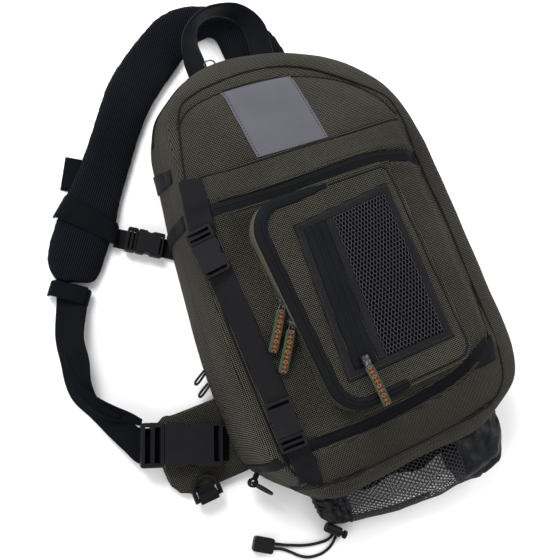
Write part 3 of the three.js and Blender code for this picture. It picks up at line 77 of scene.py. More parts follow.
class BagSizes(bpy.types.PropertyGroup):
    """Sizes of the finish that a maker would change."""

    def length(label, words, default):
        return bpy.props.FloatProperty(name=label, description=words, default=default, min=0.0, unit="LENGTH")

    weave: length("Weave", "Width of one thread of the shell's weave", 0.0017)
    rib: length("Webbing rib", "Spacing of the ribs in the webbing", 0.0017)
    spacer: length("Spacer mesh", "Spacing of the cords in the strap's padded mesh", 0.0026)
    stitch: length("Stitch", "Length from one stitch to the next", 0.0034)
    thread: length("Thread", "Radius of the sewing thread", 0.00032)
    piping: length("Piping", "Radius of the fold round the front", 0.0011)
    pocket_net: length("Pocket net", "Width of one opening of the pocket's net", 0.0018)
    pouch_net: length("Pouch net", "Width of one opening of the pouch's net", 0.0028)
    cord: length("Cord", "Diameter of the drawcord", 0.003)


class BagColours(bpy.types.PropertyGroup):
    """Colours of the fabrics and fittings."""

    def colour(label, words, default):
        return bpy.props.FloatVectorProperty(
            name=label, description=words, default=default, subtype="COLOR", size=3, min=0.0, max=1.0
        )

    shell: colour("Shell", "Thread of the olive grey weave", (0.108, 0.102, 0.079))
    # Painted shade in the gaps between the weave's threads
    shell_shade: colour("Shell shade", "Gaps of the olive grey weave", (0.0018, 0.0017, 0.0014))
    webbing: colour("Webbing", "Charcoal webbing", (0.0075, 0.0075, 0.0085))
    dark_webbing: colour("Dark webbing", "Black webbing of the shoulder strap", (0.0025, 0.003, 0.0042))
    zip_tape: colour("Zip tape", "Tape of the zips", (0.006, 0.0065, 0.0075))
    spacer: colour("Spacer mesh", "Padded mesh of the strap", (0.003, 0.0034, 0.005))
    nylon: colour("Nylon", "Thin nylon of the pouch", (0.006, 0.0065, 0.009))
    reflective: colour("Reflective panel", "Grey reflective panel", (0.08, 0.08, 0.095))
    plastic: colour("Plastic", "Moulded buckles", (0.004, 0.004, 0.005))
    # Also paints the shade along the pressed seams
    piping: colour("Piping", "Folds and binding", (0.006, 0.006, 0.006))
    net: colour("Net", "Threads of the nets", (0.034, 0.034, 0.037))
    floor: colour("Floor", "Floor of the stage", (0.93, 0.93, 0.93))


def sizes():
    return bpy.context.scene.bag_sizes


def colours():
    return bpy.context.scene.bag_colours


# Shader expressions


def calls(operation):
    """A method that adds a Math node of one operation."""
    return lambda self, *others: self.math(operation, *others)


class Value:
    """A shader socket that takes part in Python arithmetic."""

    def __init__(self, paint, socket):
        self.paint = paint
        self.socket = socket

    def math(self, operation, *others):
        return self.paint.node("ShaderNodeMath", {"operation": operation}, dict(enumerate((self, *others))))

    def __rsub__(self, other):
        return self.paint.node("ShaderNodeMath", {"operation": "SUBTRACT"}, {0: other, 1: self})

    __add__ = __radd__ = calls("ADD")
    __sub__ = calls("SUBTRACT")
    __mul__ = __rmul__ = calls("MULTIPLY")
    __truediv__ = calls("DIVIDE")
    __pow__ = calls("POWER")
    __mod__ = calls("FLOORED_MODULO")
    __gt__ = calls("GREATER_THAN")
    floor = calls("FLOOR")
    fraction = calls("FRACT")
    sine = calls("SINE")
    size = calls("ABSOLUTE")
    least = calls("MINIMUM")
    most = calls("MAXIMUM")

    def toward(self, other, share):
        """This value at share 0 and the other at share 1."""
        return self + (other - self) * share

    def ramp(self, low, high):
        """0 below low, 1 above high and straight between them."""
        settings = {"clamp": True}
        return self.paint.node("ShaderNodeMapRange", settings, {0: self, 1: low, 2: high, 3: 0.0, 4: 1.0})


class Paint:
    """One material and the calls that wire it."""

    def __init__(self, name, **fixed):
        self.material = bpy.data.materials.new(name)
        self.material.use_nodes = True
        self.tree = self.material.node_tree
        self.bsdf = self.tree.nodes["Principled BSDF"]
        for socket, value in fixed.items():
            self.feed(socket.replace("_", " "), value)

    def connect(self, socket, value):
        if isinstance(value, Value):
            self.tree.links.new(value.socket, socket)
        elif hasattr(value, "__len__") and len(value) == 3 and socket.type == "RGBA":
            socket.default_value = (*value, 1.0)
        else:
            socket.default_value = value

    def feed(self, socket, value):
        self.connect(self.bsdf.inputs[socket], value)

    def node(self, kind, settings=None, inputs=None, output=0):
        """Adds a node of a kind, sets it up, fills its sockets and gives back one of its outputs."""
        made = self.tree.nodes.new(kind)
        for key, value in (settings or {}).items():
            setattr(made, key, value)
        for key, value in (inputs or {}).items():
            self.connect(made.inputs[key], value)
        return Value(self, made.outputs[output])

    def blend(self, share, low, high):
        return self.node("ShaderNodeMix", {"data_type": "RGBA"}, {0: share, 6: low, 7: high}, 2)

    def split(self, vector):
        return [self.node("ShaderNodeSeparateXYZ", None, {0: vector}, k) for k in range(3)]

    def place(self):
        return self.node("ShaderNodeTexCoord", None, None, "Object")

    def flat(self):
        """Along and across in metres, from the piece's own map."""
        u, v, _ = self.split(self.node("ShaderNodeUVMap", {"uv_map": "UVMap"}))
        return u, v

    def faced(self):
        """Surface places in metres on the row plane that each face looks along."""
        x, y, z = self.split(self.place())
        nx, ny, nz = [n.size() for n in self.split(self.node("ShaderNodeNewGeometry", None, None, "Normal"))]
        on_x = nx > ny.most(nz)
        on_y = ny > nx.most(nz)
        return x.toward(y, on_x), y.toward(z, on_x.most(on_y))

    def noise(self, scale, detail=2.0):
        inputs = {"Scale": scale, "Detail": detail, "Vector": self.place()}
        return self.node("ShaderNodeTexNoise", None, inputs)

    def bump(self, height, strength, distance):
        """Feeds the normal with one height, given in shares of a distance."""
        inputs = {"Strength": strength, "Distance": distance, "Height": height}
        self.feed("Normal", self.node("ShaderNodeBump", None, inputs))


def ballistic_weave(name, shade=1.0):
    """Heavy basket weave of thick olive threads, paler where a thread stands up."""
    paint = Paint(name, Specular_IOR_Level=0.06, Sheen_Weight=0.015, Sheen_Roughness=0.5)
    u, v = paint.faced()
    pitch = sizes().weave
    a = u / pitch
    b = v / pitch
    over = ((a.floor() + b.floor()) % 2.0) > 0.5
    round_a = (a.fraction() * math.pi).sine()
    round_b = (b.fraction() * math.pi).sine()
    height = round_a.toward(round_b, over) * (0.55 + 0.45 * round_b.toward(round_a, over))
    colour = [shade * c for c in colours().shell]
    # The gap colour is painted shade between the threads; the thread tops are paler by their height
    gap_shade = [shade * c for c in colours().shell_shade]
    worn = paint.noise(9.0, 3.0)
    fibre = paint.noise(1400.0, 1.0)
    tone = height ** 1.3 * (0.75 + 0.5 * fibre) * (0.72 + 0.56 * worn)
    paint.feed("Base Color", paint.blend(tone.ramp(0.45, 1.03), gap_shade, colour))
    paint.feed("Roughness", 0.9 - 0.18 * height)
    paint.bump(height + 0.25 * fibre, 0.8, 0.0006)
    return paint.material


def ribbed_webbing(name, colour, sheen=0.01):
    """Woven webbing with fine ribs along it and a denser edge."""
    paint = Paint(name, Specular_IOR_Level=0.035, Sheen_Weight=sheen, Sheen_Roughness=0.4)
    u, v = paint.flat()
    rib = sizes().rib
    twill = ((u / rib + v / rib * 0.5).fraction() * TAU).sine()
    cross = ((v / rib * 1.3).fraction() * TAU).sine()
    height = 0.5 + 0.25 * twill + 0.25 * cross
    patch = paint.noise(30.0, 3.0)
    tone = (height * 0.6 + patch * 0.6).ramp(0.1, 1.0)
    paint.feed("Base Color", paint.blend(tone, [0.55 * c for c in colour], [1.5 * c for c in colour]))
    paint.feed("Roughness", 0.78 - 0.15 * height)
    paint.bump(height, 0.4, 0.0003)
    return paint.material


def padded_mesh(name, colour):
    """Padded knit with fine diagonal cords."""
    sheen = {"Sheen_Weight": 0.008, "Sheen_Tint": (0.8, 0.8, 1.0), "Sheen_Roughness": 0.3}
    paint = Paint(name, Specular_IOR_Level=0.035, **sheen)
    u, v = paint.faced()
    pitch = sizes().spacer
    cord = (((u - v * 0.72) / pitch).fraction() * math.pi).sine()
    knot = (((u + v * 0.9) / pitch * 1.3).fraction() * math.pi).sine()
    height = cord ** 0.7 * (0.75 + 0.25 * knot)
    fibre = paint.noise(900.0, 2.0)
    patch = paint.noise(14.0, 2.0)
    base = paint.blend(patch, [1.2 * c for c in colour], [3.4 * c for c in colour])
    paint.feed("Base Color", paint.blend(height.ramp(0.2, 0.8), [0.12 * c for c in colour], base))
    paint.feed("Roughness", 0.85 - 0.15 * height)
    paint.bump(height + 0.25 * fibre, 0.9, 0.0012)
    return paint.material


def smooth_nylon(name, colour, gloss=0.36, shine=0.16):
    """Thin close woven nylon that creases and shines."""
    paint = Paint(name, Specular_IOR_Level=shine)
    x, y, z = paint.split(paint.place())
    threads = ((x + z) * 2600.0).sine() * (y * 2600.0).sine()
    crease_and_shade = paint.noise(22.0, 4.0)
    fine = paint.noise(70.0, 3.0)
    # Colour follows the creases: painted shade in their hollows and a painted highlight on their crests
    paint.feed("Base Color", paint.blend(crease_and_shade, [0.3 * c for c in colour], [1.5 * c for c in colour]))
    paint.feed("Roughness", gloss + 0.25 * fine)
    paint.bump(crease_and_shade * 3.4 + fine * 1.3 + threads * 0.02, 0.8, 0.002)
    return paint.material


def moulded_plastic(name, colour):
    """Satin nylon plastic with a fine grain, paler where it is rubbed."""
    paint = Paint(name, Specular_IOR_Level=0.055)
    grain = paint.noise(1800.0, 2.0)
    rub = paint.noise(60.0, 4.0)
    # Pointiness paints a highlight along the edges, on top of the rubbed mottle
    edge = paint.node("ShaderNodeNewGeometry", None, None, "Pointiness").ramp(0.505, 0.56)
    tone = (rub * 0.6 + edge * 0.7).ramp(0.1, 1.1)
    paint.feed("Base Color", paint.blend(tone, colour, [1.8 * c + 0.004 for c in colour]))
    paint.feed("Roughness", 0.38 + 0.14 * rub - 0.1 * edge)
    paint.bump(grain, 0.16, 0.0002)
    return paint.material


def dark_metal(name):
    """Dark painted zip metal with bright worn spots."""
    paint = Paint(name)
    wear = paint.noise(350.0, 4.0).ramp(0.5, 0.72)
    paint.feed("Base Color", paint.blend(wear, (0.03, 0.03, 0.034), (0.3, 0.3, 0.31)))
    paint.feed("Metallic", 0.5 + 0.5 * wear)
    paint.feed("Roughness", 0.36 - 0.1 * wear)
    paint.bump(paint.noise(900.0, 2.0), 0.2, 0.0002)
    return paint.material


def reflective_sheet(name):
    """Grey reflective panel with a fine even grain and soft cloth under it."""
    paint = Paint(name, Specular_IOR_Level=0.12, Sheen_Weight=0.03, Sheen_Roughness=0.3)
    x, y, _ = paint.split(paint.place())
    threads = ((x * 3600.0).sine() * (y * 3600.0).sine()) * 0.5 + 0.5
    speck = paint.noise(1100.0, 2.0)
    cloud = paint.noise(24.0, 3.0)
    grey = list(colours().reflective)
    tone = (threads * 0.35 + speck * 0.4 + cloud * 0.5).ramp(0.25, 1.0)
    paint.feed("Base Color", paint.blend(tone, [0.72 * c for c in grey], [1.22 * c for c in grey]))
    paint.feed("Roughness", 0.5 + 0.2 * speck)
    paint.bump(threads * 0.5 + cloud, 0.25, 0.0004)
    return paint.material


def woven_pull(name):
    """Narrow woven tape: a brick red field between green borders, with small diamonds and stars."""
    paint = Paint(name, Specular_IOR_Level=0.1, Sheen_Weight=0.02)
    u, v = paint.flat()
    across = (v / 0.009 - 0.5).size()
    cell = u / 0.0046
    along = (cell.fraction() - 0.5).size()
    second = (cell.floor() % 2.0) > 0.5
    diamond = along + across * 1.5
    ring = (diamond > 0.3) * (0.44 - diamond).ramp(0.0, 0.02)
    core = (0.16 - diamond).ramp(0.0, 0.02)
    arm = across * 0.9
    star = (0.09 - along.least(arm)).ramp(0.0, 0.02) * (0.3 - along.most(arm)).ramp(0.0, 0.02)
    worn = paint.noise(500.0, 2.0)
    field = paint.blend(worn, (0.05, 0.006, 0.006), (0.16, 0.016, 0.012))
    first_motif = paint.blend(core, paint.blend(ring, field, (0.24, 0.21, 0.14)), (0.012, 0.04, 0.018))
    second_motif = paint.blend(star, field, (0.2, 0.12, 0.025))
    motif = paint.blend(second, first_motif, second_motif)
    border = paint.blend(worn, (0.018, 0.045, 0.022), (0.05, 0.1, 0.045))
    rows = ((u / 0.0009).fraction() * TAU).sine() * 0.5 + 0.5
    tone = paint.blend(across.ramp(0.25, 0.28), motif, border)
    paint.feed("Base Color", paint.blend(0.45 * rows, tone, (0.012, 0.01, 0.008)))
    paint.feed("Roughness", 0.85 - 0.1 * rows)
    paint.bump(1.0 - rows, 0.5, 0.0004)
    return paint.material


def braided_cord(name, colour):
    """Round braid with crossing strands."""
    paint = Paint(name, Specular_IOR_Level=0.06)
    x, y, z = paint.split(paint.place())
    one = ((x + y) * 2400.0).sine()
    two = ((x - y + z) * 2400.0).sine()
    height = one.most(two) * 0.5 + 0.5
    paint.feed("Base Color", paint.blend(height, [0.5 * c for c in colour], [1.8 * c for c in colour]))
    paint.feed("Roughness", 0.8 - 0.15 * height)
    paint.bump(height, 0.5, 0.0004)
    return paint.material


def pale_floor(name):
    """Even pale floor with the faintest mottle."""
    paint = Paint(name, Specular_IOR_Level=0.1)
    cloud = paint.noise(3.0, 2.0)
    floor = list(colours().floor)
    paint.feed("Base Color", paint.blend(cloud, [0.985 * c for c in floor], floor))
    paint.feed("Roughness", 0.9 + 0.05 * cloud)
    return paint.material


PAINTS = {
    "shell": lambda: ballistic_weave("shell_weave"),
    "shell_pale": lambda: ballistic_weave("pocket_weave", 1.05),
    "webbing": lambda: ribbed_webbing("charcoal_webbing", colours().webbing),
    "dark_webbing": lambda: ribbed_webbing("black_webbing", colours().dark_webbing),
    "zip_tape": lambda: ribbed_webbing("zip_tape", colours().zip_tape),
    "handle": lambda: ribbed_webbing("handle_webbing", [1.5 * c for c in colours().dark_webbing], 0.16),
    "grosgrain": lambda: ribbed_webbing("olive_grosgrain", [0.55 * c for c in colours().shell]),
    "binding": lambda: ribbed_webbing("binding_tape", [1.3 * c for c in colours().webbing]),
    "spacer": lambda: padded_mesh("spacer_mesh", colours().spacer),
    "nylon": lambda: smooth_nylon("pouch_nylon", colours().nylon),
    # Near-black sheet that paints the shade behind the nets
    "shade_sheet": lambda: smooth_nylon("pocket_shade_sheet", (0.002, 0.002, 0.0022), 0.7, 0.02),
    "plastic": lambda: moulded_plastic("buckle_plastic", colours().plastic),
    "metal": lambda: dark_metal("zip_metal"),
    "reflective": lambda: reflective_sheet("reflective_sheet"),
    "pull": lambda: woven_pull("pull_tape"),
    "cord": lambda: braided_cord("cord_braid", (0.011, 0.011, 0.013)),
    "net": lambda: braided_cord("net_thread", colours().net),
    "piping": lambda: braided_cord("piping_cloth", colours().piping),
    "thread": lambda: braided_cord("sewing_thread", (0.028, 0.027, 0.022)),
    "floor": lambda: pale_floor("pale_floor"),
}
made_paints = {}


def paint(name):
    if name not in made_paints:
        made_paints[name] = PAINTS[name]()
    return made_paints[name]


# Shapes


def at(x, y, z=0.0):
    """A place given as shares of half the bag's width and height, and a height in millimetres."""
    return Vector((x * HALF_WIDTH, y * HALF_HEIGHT, z * MM))


def mm(x, y, z=0.0):
    return Vector((x * MM, y * MM, z * MM))


def upward(distance):
    return Vector((0, 0, distance))


def profile(rows, place):
    """Reads a table of (place, value) rows by straight lines between them."""
    for (p0, v0), (p1, v1) in zip(rows, rows[1:]):
        if place <= p1:
            share = max(0.0, (place - p0) / (p1 - p0))
            return v0 + (v1 - v0) * share
    return rows[-1][1]


def smoothstep(value, low, high):
    share = min(1.0, max(0.0, (value - low) / (high - low)))
    return share * share * (3 - 2 * share)


def spread(points, count, closed=False):
    """Points along a smooth curve through the given ones, the same curve as in the part's source."""
    total = len(points)
    found = []
    for k in range(count if closed else count + 1):
        place = k / count * (total if closed else total - 1)
        i = min(int(place), total - 1 if closed else total - 2)
        share = place - i
        if closed:
            p = [points[(i + d) % total] for d in (-1, 0, 1, 2)]
        else:
            first = points[i - 1] if i > 0 else points[0] * 2 - points[1]
            last = points[i + 2] if i + 2 < total else points[-1] * 2 - points[-2]
            p = [first, points[i], points[i + 1], last]
        d = [max((b - a).length ** 0.5, 1e-6) for a, b in zip(p, p[1:])]
        t1 = (p[1] - p[0]) / d[0] - (p[2] - p[0]) / (d[0] + d[1]) + (p[2] - p[1]) / d[1]
        t2 = (p[2] - p[1]) / d[1] - (p[3] - p[1]) / (d[1] + d[2]) + (p[3] - p[2]) / d[2]
        t1 *= d[1]
        t2 *= d[1]
        s2, s3 = share * share, share * share * share
        place = p[1] * (2 * s3 - 3 * s2 + 1) + t1 * (s3 - 2 * s2 + share)
        found.append(place + p[2] * (3 * s2 - 2 * s3) + t2 * (s3 - s2))
    return found


def curve(row, count):
    """A smooth curve through places given in millimetres."""
    return spread([mm(x, y) for x, y in row], count)


def gathered(line, closed=False):
    """Length of the line up to each of its points."""
    reach = [0.0]
    for a, b in zip(line, [*line[1:], line[0]] if closed else line[1:]):
        reach.append(reach[-1] + (b - a).length)
    return reach


def neighbours(line, i, closed=False):
    """The points before and after one of a line's points."""
    before = line[i - 1] if i or closed else line[i]
    after = line[(i + 1) % len(line)] if i < len(line) - 1 or closed else line[i]
    return before, after


def even(points, step, closed=False):
    """The same line with points a step apart."""
    line = [*points, points[0]] if closed else list(points)
    reach = gathered(line)
    count = max(2, round(reach[-1] / step))
    found = []
    i = 0
    for k in range(count if closed else count + 1):
        want = reach[-1] * k / count
        while i < len(line) - 2 and reach[i + 1] < want:
            i += 1
        share = (want - reach[i]) / max(reach[i + 1] - reach[i], 1e-9)
        found.append(line[i].lerp(line[i + 1], min(1.0, share)))
    return found


class Shape:
    """Points, faces and a map in metres that become one piece."""

    def __init__(self):
        self.points = []
        self.faces = []
        self.maps = []

    def add(self, points, faces, maps=None):
        first = len(self.points)
        self.points += points
        self.faces += [tuple(first + i for i in face) for face in faces]
        self.maps += maps or [tuple((0.0, 0.0) for _ in face) for face in faces]
        return self

    def join(self, other):
        return self.add(other.points, other.faces, other.maps)


def loft(rings, caps=True, loop=False):
    """Joins rings of points into a skin; loop also joins the last ring to the first."""
    count = len(rings[0])
    centres = [sum(ring, Vector()) / count for ring in rings]
    along = gathered(centres, loop)
    across = gathered(rings[len(rings) // 2], True)
    faces = []
    maps = []
    for r in range(len(rings) if loop else len(rings) - 1):
        s = (r + 1) % len(rings)
        for i in range(count):
            j = (i + 1) % count
            faces.append((r * count + i, r * count + j, s * count + j, s * count + i))
            low, high = along[r], along[r + 1]
            left, right = across[i], across[i + 1]
            maps.append(((low, left), (low, right), (high, right), (high, left)))
    if caps and not loop:
        faces.append(tuple(range(count)))
        maps.append(tuple((p.x, p.y) for p in rings[0]))
        faces.append(tuple((len(rings) - 1) * count + i for i in reversed(range(count))))
        maps.append(tuple((p.x, p.y) for p in reversed(rings[-1])))
    return Shape().add([p for ring in rings for p in ring], faces, maps)


def backed(ring, depth):
    """A tape's upper side closed by its two lower corners."""
    return ring + [ring[-1] - depth, ring[0] - depth]


def piece(name, shape, finish, slot, replaces=(), smooth=True):
    """Makes one visible piece that rides on the bag."""
    mesh = bpy.data.meshes.new(name)
    mesh.from_pydata([tuple(p) for p in shape.points], [], shape.faces)
    layer = mesh.uv_layers.new(name="UVMap")
    flat = [value for face in shape.maps for pair in face for value in pair]
    layer.data.foreach_set("uv", flat)
    build = bmesh.new()
    build.from_mesh(mesh)
    bmesh.ops.recalc_face_normals(build, faces=build.faces)
    build.to_mesh(mesh)
    build.free()
    mesh.polygons.foreach_set("use_smooth", [smooth] * len(mesh.polygons))
    mesh.materials.append(paint(finish))
    made = bpy.data.objects.new(name, mesh)
    bpy.context.scene.collection.objects.link(made)
    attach(made, "bag")
    if replaces:
        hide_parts(*replaces)
    return made


def modify(made, kind, **settings):
    """Adds a modifier and applies it to the mesh."""
    modifier = made.modifiers.new(kind.title(), kind)
    for key, value in settings.items():
        setattr(modifier, key, value)
    settle(made)


def settle(made):
    graph = bpy.context.evaluated_depsgraph_get()
    graph.update()
    mesh = bpy.data.meshes.new_from_object(made.evaluated_get(graph))
    made.modifiers.clear()
    old = made.data
    made.data = mesh
    mesh.name = old.name
    bpy.data.meshes.remove(old)


def coordinates(mesh):
    flat = np.zeros(len(mesh.vertices) * 3)
    mesh.vertices.foreach_get("co", flat)
    return flat.reshape(-1, 3)


CLOTH = {
    "quality": 5, "mass": 0.3, "tension_stiffness": 30, "compression_stiffness": 20, "bending_stiffness": 2.0,
    "use_pressure": True, "uniform_pressure_force": 4.0,
}
CLOTH_FRAMES = 16
LOWEST = 0.2 * MM


def inflate(made, voxel, cap):
    """Blows a padded form up with cloth simulation, and limits how far it goes."""
    modify(made, "REMESH", mode="VOXEL", voxel_size=voxel)
    before = coordinates(made.data)
    modifier = made.modifiers.new("Cloth", "CLOTH")
    for key, value in CLOTH.items():
        setattr(modifier.settings, key, value)
    modifier.settings.effector_weights.gravity = 0
    modifier.point_cache.frame_start = 1
    modifier.point_cache.frame_end = CLOTH_FRAMES
    scene = bpy.context.scene
    for step in range(1, CLOTH_FRAMES + 1):
        scene.frame_set(step)
    settle(made)
    scene.frame_set(1)
    moved = coordinates(made.data) - before
    length = np.linalg.norm(moved, axis=1, keepdims=True)
    after = before + moved * np.minimum(1.0, cap / np.maximum(length, 1e-9))
    after[:, 2] = np.maximum(after[:, 2], LOWEST)
    made.data.vertices.foreach_set("co", after.ravel())
    made.data.update()
    modify(made, "SUBSURF", levels=1)
    made.data.polygons.foreach_set("use_smooth", [True] * len(made.data.polygons))
    if not made.data.materials:
        raise RuntimeError(f"{made.name} lost its material")


def cross_axes(along):
    side = along.cross(upward(1))
    if side.length < 1e-4:
        side = along.cross(Vector((0, 1, 0)))
    side.normalize()
    return side, side.cross(along).normalized()


def tube(line, radius, sides=8, closed=False):
    """A round tube along a line."""
    turns = [TAU * k / sides for k in range(sides)]
    rings = []
    for i, p in enumerate(line):
        before, after = neighbours(line, i, closed)
        side, up = cross_axes((after - before).normalized())
        ring = []
        for turn in turns:
            ring.append(p + side * (radius * math.cos(turn)) + up * (radius * math.sin(turn)))
        rings.append(ring)
    return loft(rings, loop=closed)


STITCH_SHARE = 0.62
STITCH_RISE = ((0.0, -1.0), (0.25, 0.9), (0.75, 0.9), (1.0, -1.0))


def dashes(line, length, radius):
    """Short threads laid end to end along a line, each dipping into the cloth at its ends."""
    shape = Shape()
    marks = even(line, length)
    lift = upward(radius)
    for a, b in zip(marks, marks[1:]):
        end = a.lerp(b, STITCH_SHARE)
        side = (end - a).cross(upward(1)).normalized() * radius
        rings = []
        for share, rise in STITCH_RISE:
            p = a.lerp(end, share) + lift * rise
            rings.append([p - side, p - side * 0.5 + lift * 0.8, p + side * 0.5 + lift * 0.8, p + side])
        shape.join(loft(rings))
    return shape


# The bag's form, with the same tables as the part's source

# x, y of the widest outline and of the seam round the front, as shares of half the width and height
OUTLINE = [
    (0, -1, 0, -0.92), (0.5, -1, 0.4, -0.92), (0.69, -0.95, 0.61, -0.9), (0.91, -0.86, 0.74, -0.83),
    (0.99, -0.72, 0.79, -0.69), (1, -0.43, 0.8, -0.43), (1, -0.05, 0.81, -0.05), (0.99, 0.28, 0.8, 0.25),
    (0.98, 0.5, 0.84, 0.45), (0.9, 0.67, 0.81, 0.57), (0.76, 0.79, 0.65, 0.68), (0.58, 0.88, 0.5, 0.76),
    (0.38, 0.94, 0.33, 0.83), (0.17, 0.98, 0.13, 0.87), (-0.08, 1, -0.1, 0.88), (-0.27, 0.99, -0.3, 0.87),
    (-0.42, 0.96, -0.46, 0.85), (-0.56, 0.9, -0.59, 0.81), (-0.7, 0.82, -0.65, 0.74),
    (-0.78, 0.71, -0.69, 0.66), (-0.82, 0.54, -0.75, 0.53), (-0.88, 0.31, -0.83, 0.31),
    (-0.94, 0.01, -0.87, 0.01), (-0.985, -0.25, -0.885, -0.25), (-1, -0.52, -0.885, -0.52),
    (-0.99, -0.7, -0.88, -0.7), (-0.91, -0.8, -0.84, -0.81), (-0.775, -0.9, -0.74, -0.88),
    (-0.63, -0.985, -0.56, -0.92), (-0.3, -1, -0.28, -0.92),
]
SEAM_DEPTH = [(-0.92, 0.84), (-0.69, 0.89), (0.28, 0.89), (0.46, 0.83), (0.82, 0.72), (1, 0.71)]
FACE_DEPTH = [
    (-0.92, 0.855), (-0.8, 0.93), (-0.7, 0.99), (-0.6, 1), (0.31, 1), (0.36, 0.965), (0.42, 0.9),
    (0.47, 0.865), (0.82, 0.765), (0.9, 0.74),
]
FACE_CROWN = 0.18
FACE_CORE = (0.1, 0.35)
BODY_STEPS = 360
WALL_LEVELS = 18
WALL_BELLY = 1.6 * MM
FRONT_ROUND_STEPS = 10
FACE_RINGS = 50
# Depth and reach of the seams and zips that are pressed into the form, and the ridges beside the zips
SEAM_SINK, SEAM_REACH = 1.7 * MM, 3.2 * MM
ZIP_SINK, ZIP_REACH = 2.6 * MM, 7 * MM
ZIP_RIDGE, ZIP_RIDGE_PLACE, ZIP_RIDGE_REACH = 1.5 * MM, 10.5 * MM, 4 * MM
DIVIDER_SEAM, DIVIDER_REACH = 0.7 * MM, 2.2 * MM
SLOW_WAVE, QUICK_WAVE = 1.5 * MM, 0.5 * MM
# The wall lies on the floor below this level and has no waves there
CALM_LEVEL = 14 * MM

# Lines sewn or pressed into the front, in millimetres from the middle of the back panel
FRONT_SEAMS = {
    "panel_seam": [(-104, 104.5), (-60, 103), (1, 102.5), (60, 101.5), (121, 100.5)],
    "arc_seam": [
        (-103, 159), (-83, 175), (-48, 183), (-10, 184), (25, 181), (80, 162), (111, 133), (123, 107),
    ],
    "side_seam": [(120, -88), (117.9, -103), (114.5, -122), (110.5, -142)],
    "bottom_seam": [(-120, -201), (-80, -204), (-41, -206.5), (19, -207), (60, -205), (97, -200)],
}
UPPER_ZIP = [
    at(-0.8, 0.315), at(-0.7, 0.308), at(-0.28, 0.297), at(0.16, 0.302), at(0.46, 0.299), at(0.67, 0.265),
    at(0.77, 0.244),
]
LOWER_ZIP = [
    at(-0.87, -0.725), at(-0.7, -0.728), at(-0.3, -0.748), at(0.12, -0.74), at(0.42, -0.712), at(0.7, -0.64),
]
# The lower zip's end at the right seam: upper and lower edge in millimetres
ZIP_GARAGE = ([(72, -155), (92, -148.5), (114, -140)], [(72, -163), (92, -164.5), (110, -164)])


def plan_ring(points, inward, inset, z):
    """A level ring inside an outline."""
    return [Vector((p.x + n.x * inset, p.y + n.y * inset, z)) for p, n in zip(points, inward)]


def inward_of(points):
    """The direction into a closed outline at each of its points."""
    found = []
    for i in range(len(points)):
        before, after = neighbours(points, i, True)
        found.append(Vector((before.y - after.y, after.x - before.x, 0)).normalized())
    return found


def distance_to(points, line):
    """Distance in plan of many points from a line."""
    best = np.full(len(points), 1.0)
    for a, b in zip(line, line[1:]):
        a = np.array(a[:2])
        d = np.array(b[:2]) - a
        share = np.clip(((points[:, :2] - a) @ d) / (d @ d), 0, 1)
        best = np.minimum(best, np.linalg.norm(points[:, :2] - a - share[:, None] * d, axis=1))
    return best


